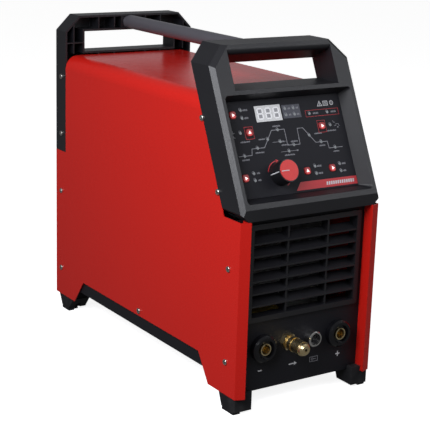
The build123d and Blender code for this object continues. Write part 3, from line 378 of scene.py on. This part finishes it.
def button_red():
    cap = Finish("button_red")
    spot = cap.node("ShaderNodeTexCoord", {}, {}, "Generated")
    offset = cap.node("ShaderNodeVectorMath", {"operation": "SUBTRACT"}, {0: spot, 1: (0.5, 0.5, 0.5)})
    flat = cap.node("ShaderNodeVectorMath", {"operation": "MULTIPLY"}, {0: offset, 1: (1.0, 0.0, 1.0)})
    reach = cap.node("ShaderNodeVectorMath", {"operation": "LENGTH"}, {0: flat}, "Value")
    glow = 1 - reach.band(0.05, 0.42)
    haze = cap.noise(0.003, detail=2.0)
    colour = cap.blend(glow, (0.30, 0.008, 0.010), (0.66, 0.045, 0.045))
    light = cap.blend(glow, (0.08, 0.001, 0.001), (0.80, 0.09, 0.08))
    return cap.surface(colour, Roughness=0.28 + haze * 0.15, Emission_Color=light, Emission_Strength=0.40)


def knob_black():
    body = Finish("knob_black")
    grain = body.noise(0.0005, detail=2.0)
    colour = body.blend(grain, (0.0055, 0.0055, 0.0070), (0.0110, 0.0110, 0.0130))
    return body.surface(colour, Roughness=0.30 + grain * 0.14, Normal=body.bump(grain, 0.00002))


def knob_red():
    disc = Finish("knob_red")
    grain = disc.noise(0.0006, detail=2.0)
    colour = disc.blend(grain, (0.760, 0.026, 0.024), (0.680, 0.018, 0.018))
    return disc.surface(colour, Roughness=0.34 + grain * 0.12, Normal=disc.bump(grain, 0.00002))


for mix in (control_overlay, display_glass, indicator_lens, button_red, knob_black, knob_red):
    mix()
print("mixed", len(Finish.made), "finishes")

# %% [markdown]
# ## What is inside
# Behind the louvres and the fan guard are green boards, windings and dark blue sleeves. A board's copper
# tracks show as faint lighter lines under its green lacquer: the borders between uneven cells are close
# enough at this size. A coil wrapped in tape shows its laps as a wave along Z, and enamelled wire only a
# change of tone.

# %% Mix the inner finishes
def circuit_board():
    lacquer = Finish("circuit_board")
    tracks = lacquer.cells(0.007, "Distance", feature="DISTANCE_TO_EDGE")
    line = 1 - tracks.band(0.02, 0.10)
    colour = lacquer.blend(line, (0.010, 0.090, 0.035), (0.045, 0.210, 0.080))
    return lacquer.surface(colour, Roughness=0.26 + line * 0.1, IOR=1.55, Normal=lacquer.bump(line, 0.00004))


def capacitor_sleeve():
    sleeve = Finish("capacitor_sleeve")
    wrap = sleeve.noise(0.004, detail=2.0, stretch=(1.0, 1.0, 0.3))
    colour = sleeve.blend(wrap, (0.008, 0.012, 0.040), (0.016, 0.022, 0.070))
    return sleeve.surface(colour, Roughness=0.22 + wrap * 0.12, Normal=sleeve.bump(wrap, 0.00005))


def ferrite():
    pressed = Finish("ferrite")
    grain = pressed.noise(0.0012, detail=4.0)
    colour = pressed.blend(grain, (0.028, 0.028, 0.031), (0.060, 0.060, 0.064))
    return pressed.surface(colour, Roughness=0.55 + grain * 0.25, Normal=pressed.bump(grain, 0.00012))


def winding_tape():
    tape = Finish("winding_tape")
    lap = tape.node("ShaderNodeTexWave", {"bands_direction": "Z"},
                    {"Vector": tape.place(), "Scale": 60.0, "Distortion": 1.5}, "Fac")
    colour = tape.blend(lap, (0.62, 0.42, 0.07), (0.78, 0.58, 0.14))
    return tape.surface(colour, Roughness=0.26 + lap * 0.1, Normal=tape.bump(lap, 0.00010))


def winding_copper():
    enamel = Finish("winding_copper")
    tone = enamel.noise(0.005, detail=3.0)
    colour = enamel.blend(tone, (0.62, 0.22, 0.07), (0.42, 0.12, 0.035))
    return enamel.surface(colour, Metallic=0.85, Roughness=0.24 + tone * 0.14, Coat_Weight=0.5,
                          Normal=enamel.bump(tone, 0.00005))


def gas_hose():
    tube = Finish("gas_hose")
    tone = tube.noise(0.006, detail=2.0)
    colour = tube.blend(tone, (0.020, 0.050, 0.200), (0.030, 0.075, 0.280))
    return tube.surface(colour, Roughness=0.30 + tone * 0.14, Normal=tube.bump(tone, 0.00006))


for mix in (circuit_board, capacitor_sleeve, ferrite, winding_tape, winding_copper, gas_hose):
    mix()
print("mixed", len(Finish.made), "finishes")

# %% [markdown]
# ## Put the finishes on
# Every piece of the assembly names the slot that it is finished with, so dressing the machine is one loop.
# The mesh stays as it is: only the material in the slot changes.

# %% Dress every piece
for name, piece in sorted(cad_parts.items()):
    slot_name = piece.data.materials[0].name.split(".")[0]
    piece.material_slots[0].material = Finish.made[slot_name]
print("dressed", len(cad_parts), "pieces")

# %% [markdown]
# ## Soften the edges
# A moulding's edge is never a knife edge: half a millimetre of rounding catches the light and draws a thin
# bright line along it. The edge could be cut into the mesh. A chain of modifiers gives the same line and
# leaves the mesh alone: Weld joins the seams that the file format split, Decimate merges the flat
# triangles, Bevel rounds what is still sharp, and Weighted Normal keeps the large faces flat in the
# shading.

# %% Round the edges that catch the light
flat_within = math.radians(1.0)
sharp_beyond = math.radians(30.0)


def soften(name, radius):
    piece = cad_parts[name]
    weld = piece.modifiers.new("join_seams", "WELD")
    weld.merge_threshold = 0.01 * mm
    flatten = piece.modifiers.new("merge_flats", "DECIMATE")
    flatten.decimate_type = "DISSOLVE"
    flatten.angle_limit = flat_within
    edge = piece.modifiers.new("round_edges", "BEVEL")
    edge.width = radius
    edge.segments = 2
    edge.limit_method = "ANGLE"
    edge.angle_limit = sharp_beyond
    edge.use_clamp_overlap = True
    shade = piece.modifiers.new("flat_shading", "WEIGHTED_NORMAL")
    shade.keep_sharp = True


edge_radii = {
    "front_bezel": 0.7 * mm,
    "rear_frame": 0.7 * mm,
    "louvre_grille": 0.4 * mm,
    "front_feet": 0.8 * mm,
    "rear_feet": 0.8 * mm,
    "front_panel": 0.3 * mm,
}
for name, radius in edge_radii.items():
    soften(name, radius)
print("softened", sorted(edge_radii))

# %% [markdown]
# ## Printed marks
# The panel's marks are ink a few hundredths of a millimetre thick. They could be an image, but a picture
# has a fixed sharpness, and this machine carries none. Here each mark is an outline on a flat face, given a
# little thickness, so it stays sharp and rides with the part that it is printed on. The face itself is
# found from the assembly: the largest flat area of a piece that looks a given way.

# %% Find flat faces
same_way = 0.9999
same_depth = 0.02 * mm
roughly_facing = 0.8


def same_plane(polygon, known):
    drop = (polygon.center - known.center).dot(known.normal)
    return polygon.normal.dot(known.normal) > same_way and abs(drop) < same_depth


def flat_face(name, facing):
    """A point on the largest flat area of a piece that looks towards facing, and that area's normal."""
    planes = []
    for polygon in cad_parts[name].data.polygons:
        if polygon.normal.dot(facing) > roughly_facing:
            plane = next((known for known in planes if same_plane(polygon, known[0])), None)
            if plane is None:
                planes.append([polygon, polygon.area])
            else:
                plane[1] += polygon.area
    polygon = max(planes, key=lambda plane: plane[1])[0]
    return polygon.center.copy(), polygon.normal.copy()


forward = Vector((0.0, -1.0, 0.0))
plate_point, plate_normal = flat_face("control_plate", forward)
slope = math.degrees(math.asin(plate_normal.z))
print("the control panel leans back", round(slope, 2), "degrees")

# %% [markdown]
# ## A sheet of marks
# One class lays marks on a face. A place on the face is given in millimetres to the right and up the face,
# from a zero point. `patch` fills an outline, and `stroke` draws a line of some width with mitred corners,
# open or closed. Both make closed solids, because a single-sided sheet of ink would have no back and no
# edge.

# %% Lay marks on a face
class Marks:
    """Thin printed marks on one flat face, gathered into one piece."""

    thickness = 0.05
    sharpest_mitre = 0.4

    def __init__(self, name, zero, normal, lift=0.01, right=(1.0, 0.0, 0.0)):
        self.name = name
        self.zero = zero
        self.normal = normal
        self.right = Vector(right)
        self.up = normal.cross(self.right)
        self.lift = lift
        self.mesh = bmesh.new()

    def corner(self, point, height):
        offset = self.right * point[0] + self.up * point[1] + self.normal * (self.lift + height)
        return self.mesh.verts.new(self.zero + offset * mm)

    def patch(self, outline):
        low = [self.corner(p, 0.0) for p in outline]
        high = [self.corner(p, self.thickness) for p in outline]
        self.mesh.faces.new(high)
        self.mesh.faces.new(low[::-1])
        for i in range(len(outline)):
            j = (i + 1) % len(outline)
            self.mesh.faces.new((low[i], low[j], high[j], high[i]))

    def stroke(self, points, width, closed=False):
        points = [Vector(p) for p in points]
        last = len(points) - 1
        rows = []
        for i, point in enumerate(points):
            ways = []
            if closed or i > 0:
                ways.append((point - points[i - 1]).normalized())
            if closed or i < last:
                ways.append((points[(i + 1) % len(points)] - point).normalized())
            ahead = sum(ways, Vector((0.0, 0.0))).normalized()
            side = Vector((-ahead.y, ahead.x))
            first_side = Vector((-ways[0].y, ways[0].x))
            reach = width / 2 / max(self.sharpest_mitre, side.dot(first_side))
            left, right = point + side * reach, point - side * reach
            rows.append((self.corner(left, 0.0), self.corner(right, 0.0),
                         self.corner(right, self.thickness), self.corner(left, self.thickness)))
        ends = rows[1:] + rows[:1] if closed else rows[1:]
        for here, there in zip(rows, ends):
            for k in range(4):
                m = (k + 1) % 4
                self.mesh.faces.new((here[k], here[m], there[m], there[k]))
        if not closed:
            self.mesh.faces.new(rows[0])
            self.mesh.faces.new(rows[-1][::-1])

    def box(self, x, y, width, height):
        w, h = width / 2, height / 2
        self.patch([(x - w, y - h), (x + w, y - h), (x + w, y + h), (x - w, y + h)])

    def outline(self, x, y, width, height, line):
        w, h = width / 2, height / 2
        self.stroke([(x - w, y - h), (x + w, y - h), (x + w, y + h), (x - w, y + h)], line, closed=True)

    def circle(self, x, y, radius, start=0.0, end=360.0, steps=24):
        turns = [math.radians(start + (end - start) * i / steps) for i in range(steps + 1)]
        return [(x + radius * math.cos(t), y + radius * math.sin(t)) for t in turns]

    def ring(self, x, y, radius, line):
        self.stroke(self.circle(x, y, radius)[:-1], line, closed=True)

    def arc(self, x, y, radius, start, end, line):
        self.stroke(self.circle(x, y, radius, start, end), line)

    def piece(self, finish, body, slot_name):
        bmesh.ops.recalc_face_normals(self.mesh, faces=self.mesh.faces)
        data = bpy.data.meshes.new(self.name)
        self.mesh.to_mesh(data)
        self.mesh.free()
        data.materials.append(finish)
        made = bpy.data.objects.new(self.name, data)
        bpy.context.scene.collection.objects.link(made)
        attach(made, body)
        print("printed", self.name, "with", len(data.polygons), "faces")


# %% [markdown]
# ## Inks
# Printing ink is nearly flat in colour, with a fine dither where the film shows through. The figures of the
# display and the symbols on the lit buttons are brighter than ink can be, so theirs give some light as
# well.

# %% Mix the inks
def ink(name, colour, worn, roughness=0.45, light=0.0):
    print_ink = Finish(name)
    dither = print_ink.noise(0.0004, detail=1.0)
    tone = print_ink.blend(dither.band(0.3, 0.8), colour, worn)
    return print_ink.surface(tone, Roughness=roughness + dither * 0.1, Emission_Color=tone,
                             Emission_Strength=light)


white_ink = ink("white_ink", (0.70, 0.70, 0.72), (0.50, 0.50, 0.53))
grey_ink = ink("grey_ink", (0.30, 0.30, 0.33), (0.20, 0.20, 0.23))
slate_ink = ink("slate_ink", (0.070, 0.073, 0.095), (0.060, 0.063, 0.082))
red_ink = ink("red_ink", (0.62, 0.035, 0.045), (0.50, 0.025, 0.032))
lit_digit = ink("lit_digit", (0.66, 0.66, 0.68), (0.60, 0.60, 0.62), roughness=0.3, light=0.35)
dark_digit = ink("dark_digit", (0.30, 0.30, 0.32), (0.25, 0.25, 0.27), roughness=0.3, light=0.1)
lit_symbol = ink("lit_symbol", (1.0, 0.93, 0.92), (1.0, 0.86, 0.84), roughness=0.3, light=0.9)

# %% [markdown]
# ## The panel's zero point
# The marks line up with holes that are already in the panel: buttons, lamps, the selector and the display.
# So the zero point is tied to the selector's axis, and the six buttons are looked up, not typed in. Heights
# are measured up the slope from a line 43.7 mm below that axis.

# %% Tie the marks to the controls
panel_normal = plate_normal
panel_up = panel_normal.cross(Vector((1.0, 0.0, 0.0)))
selector_height = 43.7


def middle(name):
    low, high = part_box(name)
    return (low + high) / 2


knob_middle = middle("knob_cap")
on_plate = plate_normal * (plate_point - knob_middle).dot(plate_normal)
panel_zero = knob_middle + on_plate - panel_up * selector_height * mm
panel_zero.x = 0.0


def panel_spot(name):
    offset = (middle(name) - panel_zero) / mm
    return offset.x, offset.dot(panel_up)


buttons = {name: panel_spot(f"button_{name}") for name in
           ("mode", "trigger", "waveform", "start", "pulse", "memory")}
display_x, display_y = panel_spot("display_window")
knob_x, knob_y = panel_spot("knob_cap")
print("buttons:", {name: (round(x, 1), round(y, 1)) for name, (x, y) in buttons.items()})
print("display:", round(display_x, 1), round(display_y, 1), "selector:", round(knob_x, 1), round(knob_y, 1))

# %% [markdown]
# ## The welding cycle
# The line across the panel is the current of one weld drawn against time: it rises in steps, holds, pulses,
# falls and ends. Lamps sit on it to show which setting the selector is changing, each in a grey ring. Rows
# of short grey bars stand beside them, which read as small print from a distance and say nothing.

# %% Find the lamps
lamp_apart = 2.0


def lamp_spots():
    """The middle of every lamp, from the flat tops of the lamps' own piece."""
    found = []
    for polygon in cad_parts["indicator_leds"].data.polygons:
        if polygon.normal.dot(panel_normal) > 0.99:
            offset = (polygon.center - panel_zero) / mm
            spot = Vector((offset.x, offset.dot(panel_up)))
            near = next((lamp for lamp in found if (lamp[0] / lamp[1] - spot).length < lamp_apart), None)
            if near is None:
                found.append([spot * polygon.area, polygon.area])
            else:
                near[0] = near[0] + spot * polygon.area
                near[1] += polygon.area
    return [total / area for total, area in found]


lamps = lamp_spots()
print("lamps:", len(lamps))

# %% Print the grey lines and the white marks
grey = Marks("print_grey", panel_zero, panel_normal)
white = Marks("print_white", panel_zero, panel_normal)
red = Marks("print_red", panel_zero, panel_normal)
slate = Marks("print_slate", panel_zero, panel_normal, lift=0.005)

cycle = [(-85.5, 71.5), (-65.5, 71.5), (-63.7, 79.7), (-44.0, 79.7), (-28.0, 101.0), (-7.7, 101.0),
         (-7.7, 79.7), (12.0, 79.3), (12.8, 100.3), (21.6, 100.3), (37.7, 79.5), (56.4, 79.3),
         (57.2, 70.0), (79.5, 70.0)]
grey.stroke(cycle, 0.8)
ring_radius = 1.75
ring_line = 0.4
for lamp in lamps:
    grey.ring(lamp.x, lamp.y, ring_radius, ring_line)
grey.stroke([(-20.0, 71.8), (5.5, 71.8)], 0.5)
grey.patch([(5.0, 73.1), (8.2, 71.8), (5.0, 70.5)])
grey.stroke([(-30.0, 85.3), (-9.5, 85.3)], 0.5)


setting_height = 1.9
option_height = 2.4
bar_gap = 0.45


def small_print(x, y, width, height):
    """A row of short bars, wide and narrow in turn, centred on x."""
    widths = (1.0, 0.7, 0.9, 0.5)
    place = x - width / 2
    count = 0
    while place < x + width / 2:
        bar = widths[count % len(widths)]
        tall = height if count % 3 else height * 0.8
        grey.box(place + bar / 2, y - (height - tall) / 2, bar, tall)
        place += bar + bar_gap
        count += 1


for x, y, width in (
    (-76.5, 66.5, 10.0), (-53.0, 74.0, 13.0), (-46.0, 90.8, 9.0), (-19.0, 106.0, 12.0), (-12.0, 80.5, 10.0),
    (-14.0, 85.3, 4.5), (3.5, 84.0, 10.0), (44.5, 91.0, 12.0), (47.0, 74.5, 9.0), (67.5, 65.0, 9.0),
    (-8.0, 67.0, 15.0), (-71.5, 89.5, 14.0), (67.5, 93.0, 14.0),
):
    small_print(x, y, width, setting_height)

for x, y, width in (
    (-61.5, 130.3, 7.5), (-62.5, 120.0, 5.0), (-62.0, 48.2, 4.0), (-62.0, 39.2, 4.0), (34.5, 48.2, 7.0),
    (34.5, 38.6, 6.5), (74.5, 47.8, 5.0), (74.5, 38.2, 4.5), (47.5, 118.2, 8.0), (77.0, 118.2, 8.0),
    (6.5, 127.6, 3.5), (19.5, 127.6, 3.5), (6.5, 119.2, 3.5), (19.5, 119.2, 3.5),
):
    small_print(x, y, width, option_height)

# %% [markdown]
# ## Outlines, icons and the banner
# A red line frames the two buttons that change the welding current's shape and the pair of warning lamps.
# The banner low on the right would carry a name. It stays plain here, apart from a row of slanted bars.

# %% Print the outlines, icons and banner
for name in ("trigger", "waveform"):
    x, y = buttons[name]
    red.outline(x, y - 0.3, 12.8, 15.8, 0.5)
red.outline(58.5, 118.2, 54.0, 8.4, 0.45)
banner = [(-0.5, 30.1), (91.0, 29.6), (91.0, 18.9), (-9.0, 19.4)]
red.patch(banner)
name_bars = Marks("print_banner_bars", panel_zero, panel_normal, lift=Marks.thickness + 0.015)
for i in range(13):
    x = 40.0 + 3.6 * i
    name_bars.patch([(x, 22.0), (x + 2.4, 22.0), (x + 3.2, 26.4), (x + 0.8, 26.4)])

white.stroke([(53.4, 127.2), (60.8, 127.2), (57.1, 133.4)], 0.9, closed=True)
white.box(57.1, 129.4, 1.0, 2.2)
white.outline(66.8, 130.2, 7.2, 5.6, 0.9)
white.stroke([(64.4, 131.3), (69.2, 131.3)], 0.8)
white.stroke([(64.4, 129.2), (69.2, 129.2)], 0.8)
white.ring(76.8, 130.2, 2.7, 0.9)
white.box(76.8, 130.2, 0.9, 3.0)

wave_left = [(-89.2, 104.5), (-87.2, 104.5), (-87.2, 101.8), (-84.6, 101.8)]
grey.stroke(wave_left, 0.5)
grey.stroke([(x, y - 6.0) for x, y in wave_left], 0.5)
grey.stroke([(-89.0, 101.0), (-86.0, 101.0)], 0.4)
wave_right = [(72.5, 106.0), (73.5, 103.5), (76.0, 103.5)]
grey.stroke(wave_right, 0.6)
grey.stroke([(73.5, 98.8), (76.5, 98.8), (76.5, 101.2), (81.0, 101.2), (81.0, 98.8), (83.0, 98.8)], 0.5)
grey.box(79.0, 96.8, 2.0, 1.6)

turn_radius = 17.5
red.arc(knob_x, knob_y, turn_radius, 95.0, 165.0, 1.3)
arc_end = math.radians(95.0)
head = knob_x + turn_radius * math.cos(arc_end), knob_y + turn_radius * math.sin(arc_end)
red.patch([(head[0] - 0.3, head[1] + 2.2), (head[0] - 0.3, head[1] - 2.2), (head[0] + 3.6, head[1] + 0.3)])
red.arc(knob_x, knob_y, turn_radius, -62.0, -38.0, 1.3)

slate.patch([(-4.5, 114.6), (24.0, 114.6), (24.0, 132.4), (-4.5, 132.4)])

grey.piece(grey_ink, "chassis", "control_overlay")
white.piece(white_ink, "chassis", "control_overlay")
red.piece(red_ink, "chassis", "button_red")
slate.piece(slate_ink, "chassis", "control_overlay")
name_bars.piece(white_ink, "chassis", "control_overlay")

# %% [markdown]
# ## The display
# Three figures of seven bars lie on a pale window, with a darker patch in each of their loops. At rest all
# bars are lit, which makes an 8. Each bar is a hexagon, so neighbouring bars meet in a thin slanted gap.

# %% Light the display
def seven_bars(marks, x, y, width, height, line):
    """An 8 of seven hexagonal bars, centred on x and y."""
    w, h, t = width / 2, height / 2, line / 2
    gap = 0.18

    def level_bar(at):
        a, b = x - w + gap, x + w - gap
        marks.patch([(a, at), (a + t, at - t), (b - t, at - t), (b, at), (b - t, at + t), (a + t, at + t)])

    def upright_bar(at, low, high):
        a, b = low + gap, high - gap
        marks.patch([(at, a), (at + t, a + t), (at + t, b - t), (at, b), (at - t, b - t), (at - t, a + t)])

    for at in (y - h, y, y + h):
        level_bar(at)
    for at in (x - w, x + w):
        upright_bar(at, y - h, y)
        upright_bar(at, y, y + h)


window_point, window_normal = flat_face("display_window", forward)
window_zero = panel_zero + window_normal * (window_point - panel_zero).dot(window_normal)
digits = Marks("display_digits", window_zero, window_normal, lift=0.03)
shades = Marks("display_shades", window_zero, window_normal)
digit_pitch = 12.6
digit_width = 7.6
digit_height = 13.6
digit_line = 1.9
for i in (-1, 0, 1):
    x = display_x + digit_pitch * i
    seven_bars(digits, x, display_y, digit_width, digit_height, digit_line)
    for half in (-1, 1):
        shades.box(x, display_y + half * digit_height / 4, 5.2, 4.6)
digits.piece(lit_digit, "chassis", "display_glass")
shades.piece(dark_digit, "chassis", "display_glass")

# %% [markdown]
# ## Symbols on the buttons and the selector
# A button's symbol moves with the button, so each one is a piece of its own that rides on that button's
# body. The selector's pointer runs from the middle of the red disc to its rim and on down the black side.
# It turns and presses with the knob.

# %% Mark the buttons
symbol_turns = {"mode": 0.0, "trigger": 90.0, "waveform": 0.0, "start": 0.0, "pulse": 90.0, "memory": 0.0}
symbol_radius = 2.6
for name, (x, y) in buttons.items():
    point, normal = flat_face(f"button_{name}", forward)
    zero = panel_zero + normal * (point - panel_zero).dot(normal)
    symbol = Marks(f"symbol_{name}", zero, normal)
    turns = [math.radians(symbol_turns[name] + third) for third in (0.0, 120.0, 240.0)]
    symbol.patch([(x + symbol_radius * math.cos(t), y + symbol_radius * math.sin(t)) for t in turns])
    symbol.piece(lit_symbol, f"button_{name}", "button_red")

# %% Mark the selector
cap_low, cap_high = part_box("knob_cap")
cap_radius = (cap_high.x - cap_low.x) / 2 / mm
knob_low, knob_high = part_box("knob")
knob_radius = (knob_high.x - knob_low.x) / 2 / mm
cap_point, cap_normal = flat_face("knob_cap", forward)
cap_zero = panel_zero + cap_normal * (cap_point - panel_zero).dot(cap_normal)
pointer = Marks("selector_pointer", cap_zero, cap_normal)
pointer_width = 1.1
pointer.box(knob_x - cap_radius / 2 + 0.6, knob_y, cap_radius - 1.6, pointer_width)
pointer.piece(white_ink, "selector_knob", "knob_red")

rim_below_cap = 0.8
knob_tall = 20.0
side_top = cap_zero + (pointer.up * knob_y - cap_normal * rim_below_cap) * mm
side_top.x = (knob_x - knob_radius + 0.9) * mm
side_foot = side_top - cap_normal * knob_tall * mm
side_foot.x = (knob_x - knob_radius) * mm
down = (side_foot - side_top).normalized()
strip = Marks("selector_pointer_side", side_top, pointer.up.cross(down), lift=0.03, right=pointer.up)
strip.box(0.0, knob_tall / 2 + 0.2, pointer_width, knob_tall - 2.0)
strip.piece(white_ink, "selector_knob", "knob_red")
print("cap radius", round(cap_radius, 1), "knob radius", round(knob_radius, 1))

# %% [markdown]
# ## The front panel's marks
# The sockets carry a minus and a plus, which are generic. Between them, a small arrow stands below the gas
# outlet and a framed figure of a plug below the torch connector.

# %% Print the front panel
face_point, face_normal = flat_face("front_panel", forward)
face_zero = Vector((0.0, face_point.y, 0.0))
labels = Marks("print_front_labels", face_zero, face_normal)
label_height = 49.5
labels.box(-63.0, label_height, 6.4, 1.6)
labels.box(65.0, label_height, 7.0, 1.7)
labels.box(65.0, label_height + 2.2, 1.7, 2.7)
labels.box(65.0, label_height - 2.2, 1.7, 2.7)
arrow_x = middle("gas_outlet").x / mm + 12.0
labels.stroke([(arrow_x - 6.5, label_height), (arrow_x + 2.5, label_height)], 1.4)
arrow_head = [(arrow_x + 2.0, label_height + 2.7), (arrow_x + 6.5, label_height),
              (arrow_x + 2.0, label_height - 2.7)]
labels.patch(arrow_head)
plug = Marks("print_front_plug", face_zero, face_normal)
plug.outline(24.5, label_height, 13.0, 6.6, 0.8)
plug.ring(22.2, label_height, 1.6, 0.8)
plug.stroke([(24.0, label_height), (28.2, label_height)], 0.9)
plug.piece(grey_ink, "chassis", "black_steel")
labels.piece(white_ink, "chassis", "black_steel")

# %% [markdown]
# ## Floor and light
# The machine stands on a wide pale floor. The floor gives light of its own, so it looks evenly white, and
# it is hidden from reflections and bounced light, so it puts no false shine under the case. The world is
# white where the camera sees it, but only a faint fill where a surface does, which keeps the blacks deep.
# Four soft lights, hidden from the camera, shape the case: one overhead, a strong one close on the left, a
# broad one from the front right, and a weak long one behind.

# %% Lay the floor
floor_mesh = bpy.data.meshes.new("floor")
reach = 30.0
floor_corners = [(-reach, -reach, 0.0), (reach, -reach, 0.0), (reach, reach, 0.0), (-reach, reach, 0.0)]
floor_mesh.from_pydata(floor_corners, [], [(0, 1, 2, 3)])
floor = bpy.data.objects.new("floor", floor_mesh)
bpy.context.scene.collection.objects.link(floor)
floor_glow = 0.86
floor_paper = Finish("floor_paper")
paper = floor_paper.surface((0.80, 0.80, 0.80), Roughness=0.9, Specular_IOR_Level=0.0,
                            Emission_Color=(1.0, 1.0, 1.0, 1.0), Emission_Strength=floor_glow)
floor_mesh.materials.append(paper)
floor.visible_glossy = False
floor.visible_diffuse = False

# %% Hang the lights
room_light = 0.13
world = bpy.data.worlds.new("bright_room")
world.use_nodes = True
room = world.node_tree.nodes["Background"]
room.inputs["Color"].default_value = (1.0, 1.0, 1.0, 1.0)
ray = world.node_tree.nodes.new("ShaderNodeLightPath")
strength = world.node_tree.nodes.new("ShaderNodeMapRange")
strength.inputs["To Min"].default_value = room_light
strength.inputs["To Max"].default_value = 1.0
world.node_tree.links.new(ray.outputs["Is Camera Ray"], strength.inputs["Value"])
world.node_tree.links.new(strength.outputs["Result"], room.inputs["Strength"])
bpy.context.scene.world = world


def softbox(name, place, target, size, watts):
    data = bpy.data.lights.new(name, "AREA")
    data.shape = "RECTANGLE"
    data.size, data.size_y = size
    data.energy = watts
    data.color = (0.93, 0.95, 1.0)
    light = bpy.data.objects.new(name, data)
    light.location = place
    light.rotation_euler = (Vector(target) - Vector(place)).to_track_quat("-Z", "Y").to_euler()
    light.visible_camera = False
    bpy.context.scene.collection.objects.link(light)
    print("light", name, "at", place, "of", watts, "W")


softbox("overhead", (0.0, -0.3, 2.6), (0.0, -0.3, 0.0), (4.0, 4.0), 5.0)
softbox("key", (-1.0, -0.55, 0.95), (0.0, 0.0, 0.35), (0.9, 0.6), 17.0)
softbox("front_card", (1.25, -1.65, 1.35), (0.0, -0.2, 0.35), (1.4, 0.9), 10.0)
softbox("back_card", (1.0, 1.8, 0.8), (0.0, 0.0, 0.4), (2.4, 0.9), 2.2)
bpy.context.scene.view_settings.view_transform = "Standard"

# %% [markdown]
